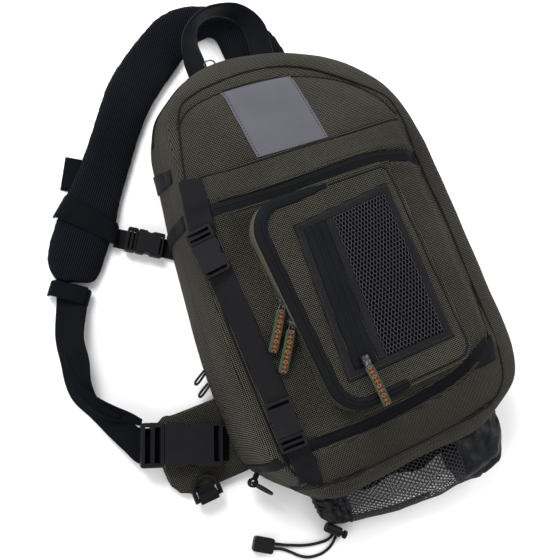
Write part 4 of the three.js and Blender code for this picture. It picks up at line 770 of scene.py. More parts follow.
class BagForm:
    """The smooth skin of the bag's body, and rays that find places on it."""

    def __init__(self):
        self.widest = spread([at(row[0], row[1]) for row in OUTLINE], BODY_STEPS, closed=True)
        self.seam = spread([at(row[2], row[3]) for row in OUTLINE], BODY_STEPS, closed=True)
        self.inward = inward_of(self.widest)
        for p in self.seam:
            p.z = self.seam_height(p)
        rings = self.wall_rings()
        self.first_face_ring = len(rings)
        rings += self.face_rings()
        self.shape = loft(rings, caps=False)
        last = (len(rings) - 1) * BODY_STEPS
        half = BODY_STEPS // 2
        for i in range(half):
            a, b = last + i, last + i + 1
            c, d = last + (BODY_STEPS - i - 1), last + (BODY_STEPS - i) % BODY_STEPS
            corners = [a, b, c] if c == b else [d, a, b, c] if i else [a, b, c]
            self.shape.faces.append(tuple(dict.fromkeys(corners)))
            self.shape.maps.append(tuple((0.0, 0.0) for _ in self.shape.faces[-1]))
        self.shape.faces.append(tuple(reversed(range(BODY_STEPS))))
        self.shape.maps.append(tuple((0.0, 0.0) for _ in range(BODY_STEPS)))
        self.press()
        self.tree = BVHTree.FromPolygons([tuple(p) for p in self.shape.points], self.shape.faces)

    @staticmethod
    def seam_height(p):
        return profile(SEAM_DEPTH, p.y / HALF_HEIGHT) * BODY_DEPTH

    @staticmethod
    def face_height(p):
        """The front's height, with the table's corners eased."""
        share = p.y / HALF_HEIGHT
        ease = 0.02
        values = [profile(FACE_DEPTH, share + k * ease) for k in (-1, -0.5, 0, 0.5, 1)]
        return sum(values) / len(values) * BODY_DEPTH

    def wall_rings(self):
        rings = []
        for degrees in (0, 30, 60, 90):
            angle = math.radians(degrees)
            z = BACK_LEVEL + BACK_ROUND * (1 - math.cos(angle))
            rings.append(plan_ring(self.widest, self.inward, BACK_ROUND * (1 - math.sin(angle)), z))
        low = BACK_LEVEL + BACK_ROUND
        for k in range(1, WALL_LEVELS):
            share = k / WALL_LEVELS
            ring = []
            for p, n, s in zip(self.widest, self.inward, self.seam):
                z = low + (s.z - FRONT_ROUND - low) * share
                belly = -WALL_BELLY * math.sin(math.pi * share)
                ring.append(Vector((p.x + n.x * belly, p.y + n.y * belly, z)))
            rings.append(ring)
        for k in range(FRONT_ROUND_STEPS + 1):
            angle = math.radians(90 * k / FRONT_ROUND_STEPS)
            ring = []
            for p, s in zip(self.widest, self.seam):
                q = p.lerp(s, 1 - math.cos(angle))
                q.z = s.z - FRONT_ROUND * (1 - math.sin(angle))
                ring.append(q)
            rings.append(ring)
        return rings

    def face_rings(self):
        rings = []
        for k in range(1, FACE_RINGS + 1):
            share = (k / FACE_RINGS) ** 1.25
            rise = smoothstep(share, 0, FACE_CROWN)
            ring = []
            for p in self.seam:
                q = Vector((p.x, p.y, 0)).lerp(Vector((p.x * FACE_CORE[0], p.y * FACE_CORE[1], 0)), share)
                low = self.seam_height(q)
                q.z = low + (self.face_height(q) - low) * rise
                ring.append(q)
            rings.append(ring)
        return rings

    def press(self):
        """Sinks the seams, lets the panels swell between them and gives the cloth slow waves."""
        points = np.array([tuple(p) for p in self.shape.points])
        face = self.first_face_ring * BODY_STEPS
        front = points[face:]
        drop = np.zeros(len(front))
        for row in FRONT_SEAMS.values():
            line = curve(row, 40)
            drop += SEAM_SINK * np.exp(-((distance_to(front, line) / SEAM_REACH) ** 2))
        for zip_line in (UPPER_ZIP, LOWER_ZIP):
            away = distance_to(front, spread(zip_line, 30))
            drop += ZIP_SINK * np.exp(-((away / ZIP_REACH) ** 6))
            drop -= ZIP_RIDGE * np.exp(-(((away - ZIP_RIDGE_PLACE) / ZIP_RIDGE_REACH) ** 2))
        front[:, 2] -= drop
        for i, p in enumerate(points):
            slow = noise.noise(Vector(p) * 11.0 + Vector((3.1, 0.4, 7.7)))
            quick = noise.noise(Vector(p) * 34.0 + Vector((9.1, 4.4, 1.7)))
            sway = SLOW_WAVE * slow + QUICK_WAVE * quick
            if i >= face:
                p[2] += sway
            elif p[2] > CALM_LEVEL:
                n = self.inward[i % BODY_STEPS]
                seam = DIVIDER_SEAM * math.exp(-(((p[2] - DIVIDER_LEVEL) / DIVIDER_REACH) ** 2))
                p[0] += n.x * (sway + seam)
                p[1] += n.y * (sway + seam)
        self.shape.points = [Vector(p) for p in points]

    def hit(self, start, direction):
        point, normal, _, _ = self.tree.ray_cast(start, direction)
        if point is None:
            raise RuntimeError(f"nothing lies under {tuple(start)}")
        if normal.dot(direction) > 0:
            normal = -normal
        return point, normal

    def front(self, p, lift=0.0):
        """The place on the front over a point, lifted straight up."""
        point, _, _, _ = self.tree.ray_cast(Vector((p.x, p.y, 0.4)), upward(-1))
        if point is None:
            near, _, _, _ = self.tree.find_nearest(Vector((p.x, p.y, 0.6 * BODY_DEPTH)))
            point = Vector((p.x, p.y, near.z))
        return point + upward(lift)

    def wall(self, share, z, lift=0.0):
        """The place on the side wall at a share of the way round, lifted outwards."""
        place = (share % 1.0) * BODY_STEPS
        i = int(place) % BODY_STEPS
        j = (i + 1) % BODY_STEPS
        p = self.widest[i].lerp(self.widest[j], place - int(place))
        n = self.inward[i].lerp(self.inward[j], place - int(place)).normalized()
        start = Vector((p.x - n.x * 0.1, p.y - n.y * 0.1, z))
        point, _ = self.hit(start, Vector((n.x, n.y, 0)))
        return point - n * lift


form = None


def front_line(points, lift=0.0):
    return [form.front(p, lift) for p in points]


def sides_of(line):
    """The sideways direction in plan at each point of a line."""
    found = []
    for i in range(len(line)):
        before, after = neighbours(line, i)
        along = after - before
        found.append(Vector((along.y, -along.x, 0)).normalized())
    return found


def moved_aside(line, offset):
    return [p + side * offset for p, side in zip(line, sides_of(line))]


TAPE_STEP = 4 * MM


def laid_strip(points, width, heights, sink=1.2 * MM, lift=GAP):
    """A tape on the bag's front. heights lists (share across, height in millimetres) of its section."""
    line = even(points, TAPE_STEP)
    rings = []
    for p, side in zip(line, sides_of(line)):
        top = []
        for share, height in heights:
            q = p + side * ((share - 0.5) * width)
            top.append(form.front(q, lift + height * MM))
        last_height = heights[-1][1] * MM
        rings.append([*top, top[-1] - upward(last_height + lift + sink), top[0] - upward(sink + lift)])
    return loft(rings)


ZIP_SECTION = [
    (0.0, 0.1), (0.03, 0.7), (0.3, 0.9), (0.36, 1.5), (0.44, 1.7), (0.485, 1.5), (0.5, 0.6), (0.515, 1.5),
    (0.56, 1.7), (0.64, 1.5), (0.7, 0.9), (0.97, 0.7), (1.0, 0.1),
]
WIDE_ZIP_SECTION = [
    (0.0, 0.1), (0.03, 0.6), (0.1, 0.7), (0.14, 1.4), (0.28, 1.6), (0.32, 0.6), (0.36, 0.4), (0.4, 1.2),
    (0.47, 1.5), (0.5, 0.7), (0.53, 1.5), (0.6, 1.2), (0.64, 0.4), (0.68, 0.6), (0.72, 1.6), (0.86, 1.4),
    (0.9, 0.7), (0.97, 0.6), (1.0, 0.1),
]
WEBBING_SECTION = [
    (0.0, 0.2), (0.02, 1.2), (0.08, 1.6), (0.3, 1.5), (0.5, 1.55), (0.7, 1.5), (0.92, 1.6), (0.98, 1.2),
    (1.0, 0.2),
]
BINDING_SECTION = [(0.0, 0.1), (0.06, 1.0), (0.3, 1.35), (0.7, 1.35), (0.94, 1.0), (1.0, 0.1)]


def make_body():
    """The whole body: both compartments, piping, seams and stitching."""
    global form
    form = BagForm()
    piece("bag_body", form.shape, "shell", "ballistic_weave", replaces=("rear_shell", "front_shell"))
    piping = sizes().piping
    ring = even([p.copy() for p in form.seam], 3 * MM, closed=True)
    rim = tube([p + upward(0.3 * MM) for p in ring], piping, closed=True)
    piece("front_piping", rim, "piping", "webbing")

    # Each pressed seam carries a near-black tube on its upper side: painted shade in the seam's crease
    folds = Shape()
    for row in FRONT_SEAMS.values():
        folds.join(tube(front_line(even(curve(row, 40), 3 * MM), 0.1 * MM), 0.85 * MM, 6))
    piece("seam_shade_lines", folds, "piping", "webbing")


# Each sewn seam's distance from its row of stitches
SEAM_STITCHES = (("panel_seam", -3.4 * MM), ("bottom_seam", 3.4 * MM), ("arc_seam", -3.0 * MM))
ZIP_STITCHES = 9.6 * MM


def make_stitching():
    """Rows of stitches beside the seams, the piping and the zips."""
    threads = Shape()
    rows = [(curve(FRONT_SEAMS[name], 30), offset) for name, offset in SEAM_STITCHES]
    for zip_line in (UPPER_ZIP, LOWER_ZIP):
        line = [p for p in spread(zip_line, 30) if abs(p.x) < 0.68 * HALF_WIDTH]
        rows += [(line, -ZIP_STITCHES), (line, ZIP_STITCHES)]
    for line, offset in rows:
        beside = front_line(moved_aside(even(line, 3 * MM), offset), 0.1 * MM)
        threads.join(dashes(beside, sizes().stitch, sizes().thread))
    piece("seam_stitching", threads, "thread", "cord")


FRONT_ZIPS = (("upper_zip", UPPER_ZIP, 12.5 * MM), ("lower_zip", LOWER_ZIP, 11 * MM))


# Shares across between which the zips have lips, and the lips' distance from the tape and radius
ZIP_LIP_SPAN = (-0.68, 0.56)
ZIP_LIP_GAP, ZIP_LIP_RADIUS = 2.4 * MM, 1.5 * MM


def make_front_zips():
    """The two curved zips across the front."""
    lips = Shape()
    for name, row, width in FRONT_ZIPS:
        strip = laid_strip(spread(row, 40), width, ZIP_SECTION)
        piece(name, strip, "zip_tape", "zip_tape", replaces=(name + "_tape",))
        low, high = ZIP_LIP_SPAN
        line = [p for p in even(spread(row, 40), TAPE_STEP) if low < p.x / HALF_WIDTH < high]
        for side in (-1, 1):
            beside = moved_aside(line, side * 0.5 * (width + ZIP_LIP_GAP))
            lips.join(tube(front_line(beside, GAP), ZIP_LIP_RADIUS, 10))
    upper, lower = (curve(row, 12) for row in ZIP_GARAGE)
    rings = []
    for high, low in zip(upper, lower):
        top = [form.front(high.lerp(low, k / 10), 1.3 * MM) for k in range(11)]
        rings.append(backed(top, upward(2 * MM)))
    piece("zip_end_cloth", loft(rings), "zip_tape", "zip_tape")
    piece("zip_lips", lips, "shell", "ballistic_weave")


PATCH_STEPS = 24
PATCH_LEFT = [at(-0.305, 0.815), at(-0.295, 0.7), at(-0.285, 0.58), at(-0.278, 0.475)]
PATCH_RIGHT = [at(0.205, 0.805), at(0.22, 0.69), at(0.235, 0.575), at(0.245, 0.466)]


def make_patch():
    """The reflective panel on the top and the stitches down both its sides."""
    left = spread(PATCH_LEFT, PATCH_STEPS)
    right = spread(PATCH_RIGHT, PATCH_STEPS)
    rings = []
    for a, b in zip(left, right):
        top = [form.front(a.lerp(b, k / PATCH_STEPS), 0.9 * MM) for k in range(PATCH_STEPS + 1)]
        rings.append(backed(top, upward(1.6 * MM)))
    replaced = ("reflective_patch",)
    piece("reflective_panel", loft(rings), "reflective", "reflective", replaces=replaced, smooth=False)
    threads = Shape()
    for edge, inset in ((left, 2.2), (right, -2.2)):
        line = [p + mm(inset, 0) for p in edge]
        threads.join(dashes(front_line(line, 1.1 * MM), sizes().stitch, sizes().thread))
    piece("patch_stitching", threads, "thread", "cord")


# The front pocket

POCKET = [(-0.5, -0.678, 32), (0.485, -0.662, 18), (0.44, 0.25, 12), (-0.58, 0.25, 30)]
WAIST_WING = [(-0.9, -0.78, 6), (-0.9, -0.41, 6), (-1.49, -0.395, 22), (-1.48, -0.765, 26)]
CORNER_STEPS = 12


def rounded(corners, margin):
    """An outline of straight sides and round corners, moved outwards by a margin."""
    found = []
    total = len(corners)
    for i, (x, y, radius) in enumerate(corners):
        p = at(x, y)
        a = (at(*corners[i - 1][:2]) - p).normalized()
        b = (at(*corners[(i + 1) % total][:2]) - p).normalized()
        half = a.angle(b) / 2
        centre = p + (a + b).normalized() * (radius * MM / math.sin(half))
        start = math.atan2(a.x, -a.y)
        for k in range(CORNER_STEPS + 1):
            angle = start + (math.pi - 2 * half) * k / CORNER_STEPS
            reach = radius * MM + margin
            found.append(centre + Vector((math.cos(angle), math.sin(angle), 0)) * reach)
    return found


# The pocket's rolled edge: share across the zip against inset from the outline and drop from the face
POCKET_ROLL_IN = [(-0.1, 10.9), (0.0, 9.7), (0.25, 7.0), (0.5, 4.2), (0.75, 1.2), (1.0, -1.0), (1.1, -1.0)]
POCKET_ROLL_DOWN = [(-0.1, 0.3), (0.0, 0.35), (0.25, 0.5), (0.5, 0.9), (0.75, 2.2), (1.0, 6.5), (1.1, 8.0)]
POCKET_ZIP_SECTION = [
    (0.0, -0.3), (0.04, 0.5), (0.2, 0.7), (0.26, 1.3), (0.36, 1.5), (0.42, 0.7), (0.46, 0.5), (0.5, 1.3),
    (0.6, 1.5), (0.66, 0.6), (0.72, 0.6), (0.78, 1.2), (0.84, 1.2), (0.88, 0.6), (0.97, 0.5), (1.0, -0.3),
]
# How far the gusset swells, in millimetres, at shares of its height
POCKET_SWELL = [(0.0, 0.6), (0.12, 1.2), (0.3, 0.9), (0.45, -0.3), (0.6, 0.9), (0.8, 1.3), (0.93, 0.6)]
# Inset and drop of the face's rings, in millimetres
POCKET_RINGS = ((0.0, 4.2), (0.8, 2.8), (2.2, 1.6), (4.0, 0.9), (7.0, 0.45), (12.0, 0.25))
POCKET_STEPS = 220


def level_ring(outline, z):
    return [Vector((p.x, p.y, z)) for p in outline]


def make_pocket():
    """The raised front pocket with its gusset, zip and piping."""
    count = POCKET_STEPS
    corners = rounded(POCKET, 0)
    outline = even(corners, gathered(corners, True)[-1] / count, closed=True)
    inward = inward_of(outline)
    base = [form.front(p).z - 1.5 * MM for p in outline]
    rings = []
    for share, swell in POCKET_SWELL:
        ring = []
        for p, n, low in zip(outline, inward, base):
            z = low + (POCKET_TOP - 5 * MM - low) * share
            ring.append(Vector((p.x - n.x * swell * MM, p.y - n.y * swell * MM, z)))
        rings.append(ring)
    rings += [plan_ring(outline, inward, inset * MM, POCKET_TOP - drop * MM) for inset, drop in POCKET_RINGS]
    middle = sum(outline, Vector()) / len(outline)
    rim = rings[-1]
    for share in (0.25, 0.5, 0.75, 0.95):
        ring = []
        for p in rim:
            q = p.lerp(Vector((middle.x, p.y * 0.5 + middle.y * 0.5, p.z)), share)
            q.z = POCKET_TOP - 0.2 * MM
            ring.append(q)
        rings.append(ring)
    for ring in rings:
        for p in ring:
            p.z += 0.35 * MM * noise.noise(p * 26.0)
    piece("front_pocket", loft(rings), "shell_pale", "ballistic_weave", replaces=("pocket_shell",))

    start = min(range(count), key=lambda i: (outline[i] - mm(-4, 56)).length)
    stop = min(range(count), key=lambda i: (outline[i] - mm(-6, -147)).length)
    span = (stop - start) % count
    bare = [(stop + k) % count for k in range(count - span + 1)]

    def on_face(i, inset, drop):
        return outline[i] + inward[i] * inset * MM + upward(POCKET_TOP - drop * MM)

    foot = [form.front(p - n * 1.2 * MM, 0.2 * MM) for p, n in zip(outline, inward)]
    rim = tube([on_face(i, 0.9, 1.9) for i in bare], 1.1 * MM)
    piece("pocket_piping", rim.join(tube(foot, 1.0 * MM, closed=True)), "shell_pale", "ballistic_weave")
    seam = [on_face(i, 4.2, 0.75) for i in bare[1:-1]]
    piece("pocket_seam", tube(seam, 0.8 * MM, 6), "piping", "webbing")

    def over_edge(i, share):
        """A place on the pocket's rolled edge, from the face at share 0 to the side at share 1."""
        return on_face(i, profile(POCKET_ROLL_IN, share), profile(POCKET_ROLL_DOWN, share))

    rings = []
    for k in range(span + 1):
        i = (start + k) % count
        taper = min(1.0, 0.3 + k / 16, 0.7 + (span - k) / 8)
        ring = []
        for share, height in POCKET_ZIP_SECTION:
            place = 0.5 + (share - 0.5) * taper
            p = over_edge(i, place)
            along = over_edge(i, place + 0.02) - over_edge(i, place - 0.02)
            out = Vector((inward[i].x * along.z, inward[i].y * along.z, -along.dot(inward[i]))).normalized()
            ring.append(p + out * ((0.5 + height) * MM))
        rings.append(backed(ring, (inward[i] - upward(1)).normalized() * -1.6 * MM))
    piece("pocket_zip", loft(rings), "zip_tape", "zip_tape", replaces=("pocket_zip_tape",))

    rings = []
    first, last = round(0.1 * span), round(0.56 * span)
    for k in range(first, last):
        i = (start + k) % count
        low = form.front(outline[i] - inward[i] * 2 * MM).z + 2 * MM
        low += (POCKET_TOP - 10 * MM - low) * smoothstep((k - first) / (last - first), 0.35, 1.05)
        ring = []
        for share, height in WEBBING_SECTION:
            out = outline[i] - inward[i] * (0.9 + height * 0.5) * MM
            ring.append(out + upward(low + (POCKET_TOP - 8 * MM - low) * share))
        rings.append(backed(ring, inward[i] * -2 * MM))
    piece("pocket_side_tape", loft(rings), "grosgrain", "webbing")


WINDOW = (at(-0.335, 0.12), at(0.37, 0.16), at(0.385, -0.555), at(-0.395, -0.55))
WINDOW_ZIP = 24 * MM
BINDING = 8 * MM


def window_place(across, along):
    top_left, top_right, bottom_right, bottom_left = WINDOW
    return bottom_left.lerp(bottom_right, across).lerp(top_left.lerp(top_right, across), along)


TAPE_DEPTH = 0.4 * MM


def flat_strip(points, width, heights, z):
    """A tape on a level place."""
    line = even(points, TAPE_STEP)
    rings = []
    for p, side in zip(line, sides_of(line)):
        ring = [p + side * ((share - 0.5) * width) + upward(z + height * MM) for share, height in heights]
        rings.append(backed(ring, upward(TAPE_DEPTH)))
    return loft(rings)


def knit(place, columns, rows, radius):
    """A net of threads that meet in knots. place turns shares into a point on the net."""
    shape = Shape()
    for i in range(columns + 1):
        line = []
        for j in range(rows * 2 + 1):
            lean = 0.5 if (j // 2 + i) % 2 else -0.5
            across = (i + lean * 0.92) / columns
            line.append(place(min(1.0, max(0.0, across)), j / (rows * 2)))
        shape.join(tube(line, radius, 4))
    return shape


# Height in metres over which the window's rows of cells and the inset of its stitches are counted
WINDOW_ROW_REACH = 0.1
WINDOW_STITCHES = 1.8 * MM
WINDOW_THREAD = 0.34 * MM


def make_window():
    """The net window on the pocket, with its binding and its own zip."""
    width = (WINDOW[1] - WINDOW[0]).length
    across = BINDING / width
    along = BINDING / (WINDOW[0] - WINDOW[3]).length
    zip_end = across + WINDOW_ZIP / width
    seat = POCKET_TOP + GAP
    rings = []
    for x, y in ((0, 0), (1, 0), (1, 1), (0, 1)):
        ring = []
        for share, height in BINDING_SECTION:
            place = window_place(x + (1 - 2 * x) * across * share, y + (1 - 2 * y) * along * share)
            ring.append(place + upward(seat + height * MM))
        rings.append(backed(ring, upward(TAPE_DEPTH)))
    frame_tape = loft([*rings, rings[0]], caps=False)
    bar = [window_place(zip_end + across / 2, along), window_place(zip_end + across / 2, 1 - along)]
    frame_tape.join(flat_strip(bar, BINDING, BINDING_SECTION, seat))
    piece("window_binding", frame_tape, "binding", "webbing", replaces=("mesh_binding",), smooth=False)

    middle = (across + zip_end) / 2
    ends = [window_place(middle, along * 0.9), window_place(middle, 1 - along * 0.9)]
    strip = flat_strip(ends, WINDOW_ZIP, WIDE_ZIP_SECTION, seat - 0.2 * MM)
    piece("window_zip", strip, "zip_tape", "zip_tape", replaces=("mesh_zip_tape",))

    left = zip_end + across
    right = 1 - across

    def on_net(share, share_along):
        p = window_place(left + (right - left) * share, along + (1 - 2 * along) * share_along)
        swell = math.sin(math.pi * share) * math.sin(math.pi * share_along)
        return p + upward(seat + (0.6 + 1.3 * swell) * MM)

    pitch = sizes().pocket_net
    columns = round((right - left) * width / pitch)
    rows = round((1 - 2 * along) * WINDOW_ROW_REACH / (pitch * 1.35))
    piece("window_net", knit(on_net, columns, rows, WINDOW_THREAD), "net", "net", replaces=("mesh_net",))
    # A near-black sheet under the net: painted shade inside the pocket
    corners = [window_place(x, y) for x, y in
               ((left, along), (right, along), (right, 1 - along), (left, 1 - along))]
    rings = [level_ring(corners, seat - 0.25 * MM), level_ring(corners, seat + 0.05 * MM)]
    piece("window_shade_sheet", loft(rings), "shade_sheet", "net", smooth=False)

    threads = Shape()
    x, y = WINDOW_STITCHES / width, WINDOW_STITCHES / WINDOW_ROW_REACH
    for start, end in (((x, y), (1 - x, y)), ((x, 1 - y), (1 - x, 1 - y)), ((x, y), (x, 1 - y)),
                       ((1 - x, y), (1 - x, 1 - y))):
        line = even([window_place(*start), window_place(*end)], TAPE_STEP)
        raised = [p + upward(seat + 1.25 * MM) for p in line]
        threads.join(dashes(raised, sizes().stitch * 0.8, sizes().thread))
    piece("window_stitching", threads, "thread", "cord")


# Webbing on the front and the gusset


def make_compression_strap():
    """Webbing of the compression strap, above, between and below its two buckles."""
    runs = {
        "strap_top_run": ("strap_anchor_top", [at(-0.745, 0.475), at(-0.79, 0.33), at(-0.825, 0.2)]),
        "strap_long_run": ("compression_webbing", [at(-0.815, 0.085), at(-0.805, -0.2), at(-0.79, -0.53)]),
        "strap_bottom_run": ("strap_anchor_bottom", [at(-0.79, -0.65), at(-0.775, -0.76), at(-0.755, -0.89)]),
    }
    for name, (node, points) in runs.items():
        strip = laid_strip(spread(points, 20), 20 * MM, WEBBING_SECTION, sink=2.2 * MM, lift=2.0 * MM)
        piece(name, strip, "webbing", "webbing", replaces=(node,))


GUSSET_TAPES = (
    ("side_band", "gusset_band", "webbing",
     [(0.536, 0.628, 0.1), (0.522, 0.599, 0.36), (0.509, 0.575, 0.55), (0.502, 0.56, 0.7)]),
    ("side_webbing", "gusset_webbing", "webbing",
     [(0.275, 0.345, 0.1), (0.284, 0.345, 0.45), (0.284, 0.344, 0.78)]),
    ("lower_zip_side", None, "zip_tape",
     [(-0.775, -0.735, 0.24), (-0.775, -0.732, 0.5), (-0.772, -0.728, 0.8), (-0.762, -0.71, 0.93)]),
)


def gusset_strip(name, node, finish, rows):
    """Webbing over the left gusset. Each row is its two ends in y, as shares, and a depth share."""
    lows = spread([Vector((y0 * HALF_HEIGHT, 0, z * BODY_DEPTH)) for y0, _, z in rows], 24)
    highs = spread([Vector((y1 * HALF_HEIGHT, 0, z * BODY_DEPTH)) for _, y1, z in rows], 24)
    rings = []
    for low, high in zip(lows, highs):
        top = []
        for share, height in WEBBING_SECTION:
            q = low.lerp(high, share)
            point, _ = form.hit(Vector((-0.4, q.x, q.z)), Vector((1, 0, 0)))
            top.append(point - Vector((GAP + height * MM, 0, 0)))
        rings.append(backed(top, Vector((-2.6 * MM, 0, 0))))
    piece(name, loft(rings), finish, finish, replaces=(node,) if node else ())


def make_gusset_webbing():
    """The band and the webbing that cross the left gusset, and the end of the lower zip."""
    for row in GUSSET_TAPES:
        gusset_strip(*row)


REAR_ZIP_WIDTH = 12 * MM
REAR_ZIP_STEPS = 90
# Share of the half height above which the zip runs
REAR_ZIP_REACH = 0.72


def make_rear_zip():
    """The zip round the top gusset."""
    top = [i for i in range(BODY_STEPS) if form.widest[i].y > REAR_ZIP_REACH * HALF_HEIGHT]
    first, last = min(top) / BODY_STEPS, max(top) / BODY_STEPS
    rings = []
    for k in range(REAR_ZIP_STEPS + 1):
        place = first + (last - first) * k / REAR_ZIP_STEPS
        ring = []
        for share, height in ZIP_SECTION:
            level = REAR_ZIP_LEVEL + (share - 0.5) * REAR_ZIP_WIDTH
            ring.append(form.wall(place, level, (0.2 + height * 0.8) * MM))
        ring.append(form.wall(place, REAR_ZIP_LEVEL + REAR_ZIP_WIDTH / 2, -MM))
        ring.append(form.wall(place, REAR_ZIP_LEVEL - REAR_ZIP_WIDTH / 2, -MM))
        rings.append(ring)
    piece("rear_zip", loft(rings), "zip_tape", "zip_tape", replaces=("rear_zip_tape",))


# The shoulder strap and its webbing

PAD_SECTIONS = [
    (0.52, 0.93, 0.03, 0.95), (0.51, 1.09, 0.03, 1.1), (0.45, 1.2, 0.015, 1.2), (0.31, 1.29, -0.02, 1.22),
    (0.09, 1.38, -0.06, 1.21), (-0.12, 1.41, -0.11, 1.2), (-0.32, 1.39, -0.18, 1.175),
    (-0.51, 1.32, -0.27, 1.13), (-0.71, 1.225, -0.43, 1.05), (-0.87, 1.13, -0.58, 0.97),
    (-1.0, 1.02, -0.7, 0.89), (-1.1, 0.93, -0.81, 0.8), (-1.24, 0.81, -0.93, 0.69),
    (-1.42, 0.68, -1.06, 0.57), (-1.53, 0.59, -1.15, 0.475), (-1.63, 0.5, -1.25, 0.39),
    (-1.69, 0.42, -1.31, 0.345), (-1.695, 0.37, -1.38, 0.29), (-1.665, 0.315, -1.45, 0.258),
]
# Corners of the band across the pad: outer and inner end, upper and lower edge
CROSSBAND = ((-210.9, 151.1), (-174.6, 105.8), (-231.4, 132.8), (-184.1, 84.6))


PAD_SIDES = 20


def make_shoulder_strap():
    """The padded shoulder strap, blown up from a slightly slimmer form."""
    outer = spread([at(row[0], row[1]) for row in PAD_SECTIONS], 90)
    inner = spread([at(row[2], row[3]) for row in PAD_SECTIONS], 90)
    section = []
    for k in range(PAD_SIDES):
        c, s = math.cos(TAU * k / PAD_SIDES), math.sin(TAU * k / PAD_SIDES)
        across = 0.5 + 0.485 * math.copysign(abs(c) ** 0.45, c)
        section.append((across, 0.5 + 0.47 * math.copysign(abs(s) ** 0.75, s)))
    rings = []
    for o, i in zip(outer, inner):
        rings.append([o.lerp(i, across) + upward(PAD_THICKNESS * height) for across, height in section])
    strap = piece("padded_strap", loft(rings), "spacer", "spacer_mesh", replaces=("shoulder_strap",))
    inflate(strap, 3.6 * MM, 1.6 * MM)


def bands(rows, thickness, steps):
    """A webbing between rows of left and right edge points."""
    lefts = spread([row[0] for row in rows], steps)
    rights = spread([row[1] for row in rows], steps)
    middles = [(left + right) / 2 for left, right in zip(lefts, rights)]
    rings = []
    for i, (left, right) in enumerate(zip(lefts, rights)):
        before, after = neighbours(middles, i)
        normal = (right - left).cross(after - before).normalized()
        if normal.z < 0:
            normal = -normal
        ring = []
        for share, height in WEBBING_SECTION:
            ring.append(left.lerp(right, share) + normal * (height / 1.6 * thickness))
        rings.append([*ring, right, left])
    return loft(rings)


SHOULDER_WEBBING = [
    (mm(-251, 74, 6), mm(-225, 55, 10)), (at(-1.7, 0.25, 3), at(-1.545, 0.165, 11)),
    (at(-1.795, 0.09, 1), at(-1.64, 0.04, 20)),
    (at(-1.82, -0.02, 1), at(-1.66, -0.055, 22)), (at(-1.84, -0.12, 1), at(-1.7, -0.155, 23)),
    (at(-1.83, -0.19, 1), at(-1.69, -0.24, 22)), (at(-1.77, -0.28, 1), at(-1.6, -0.33, 19)),
    (mm(-259, -85, 5), mm(-239, -72, 13)), (mm(-250.5, -105, 10), mm(-234, -82, 12.5)),
]
# The webbing's doubled edge above the wide buckle, in millimetres
WEBBING_FOLD = [
    ((-270, 2, 22.5), (-267.5, 2.5, 23.5)), ((-274, -24, 23), (-268, -21, 24.5)),
    ((-272, -43, 23), (-263, -38, 25)), ((-264, -58, 20.5), (-255, -50, 23.5)),
    ((-251, -74, 15.5), (-244, -62, 18)), ((-236, -84, 13.4), (-231, -75, 14.4)),
    ((-227, -90, 12.8), (-224, -84, 13)),
]
WIDE_BUCKLE = at(-1.56, -0.475, 14.2)
WIDE_ALONG = Vector((math.cos(math.radians(-22)), math.sin(math.radians(-22)), 0))


SHOULDER_TAPE = 1.6 * MM
# Share across the pad against height in millimetres, of the band and of the keeper
BAND_HEIGHTS = ((0.0, 5), (0.05, 12.6), (0.3, 13.6), (0.7, 13.6), (0.95, 12.6), (1.0, 5))
KEEPER_HEIGHTS = ((-0.04, 4), (0.02, 11.5), (0.2, 12.8), (0.8, 12.8), (0.98, 11.5), (1.04, 4))


def black_webbing(name, shape, *nodes):
    piece(name, shape, "dark_webbing", "webbing", replaces=nodes)


def make_shoulder_webbing():
    """Bands on the strap, and the webbing from its end to the wide buckle."""
    outer_high, inner_high, outer_low, inner_low = (mm(x, y) for x, y in CROSSBAND)
    rows = []
    for across, z in BAND_HEIGHTS:
        rise = upward(z * MM)
        rows.append((outer_high.lerp(inner_high, across) + rise, outer_low.lerp(inner_low, across) + rise))
    black_webbing("strap_band", bands(rows, SHOULDER_TAPE, 24), "strap_crossband")
    tail = flat_strip([mm(-189, 186), mm(-206, 155)], 19 * MM, WEBBING_SECTION, 0.4 * MM)
    black_webbing("strap_loose_tail", tail, "strap_tail")
    start, end = mm(-257.5, 66.5), mm(-229.5, 46)
    side = (end - start).cross(upward(1)).normalized() * 8 * MM
    keeper = []
    for share, z in KEEPER_HEIGHTS:
        p = start.lerp(end, share) + upward(z * MM)
        keeper.append((p - side, p + side))
    black_webbing("strap_sleeve", bands(keeper, SHOULDER_TAPE, 24), "strap_keeper")

    side = Vector((-WIDE_ALONG.y, WIDE_ALONG.x, 0)) * 17 * MM
    head = Vector((WIDE_BUCKLE.x, WIDE_BUCKLE.y, PAD_THICKNESS + GAP))
    under = head + WIDE_ALONG * 22 * MM
    rows = [*SHOULDER_WEBBING, (head - side, head + side), (under - side, under + side)]
    black_webbing("shoulder_run", bands(rows, SHOULDER_TAPE, 72), "shoulder_webbing")
    black_webbing("webbing_fold", bands([(mm(*a), mm(*b)) for a, b in WEBBING_FOLD], 1.4 * MM, 48))
    start = WIDE_BUCKLE + WIDE_ALONG * 66 * MM
    strip = flat_strip([start, start + WIDE_ALONG * 22 * MM], 34 * MM, WEBBING_SECTION, -1.6 * MM)
    black_webbing("wing_run", strip, "wing_webbing")


# Margin and height of each ring of the wing, in millimetres
WING_RINGS = ((-4, 0.4), (-1.5, 2), (-0.5, 5), (-0.8, 8), (-2, 10.2), (-5, 11.3))


def make_waist_wing():
    """The padded waist wing in the shell's weave."""
    rings = []
    for margin, z in WING_RINGS:
        rings.append(level_ring(rounded(WAIST_WING, margin * MM), z * MM))
    wing = piece("padded_wing", loft(rings), "shell", "ballistic_weave", replaces=("waist_wing",))
    inflate(wing, 5 * MM, 1.5 * MM)


# Start and end of the webbing on either side of the stabiliser's buckle, in millimetres along it
STABILISER_RUNS = (
    ("stabiliser_run_strap", "stab_webbing_strap", -2, 20),
    ("stabiliser_run_bag", "stab_webbing_bag", 39, 62),
)


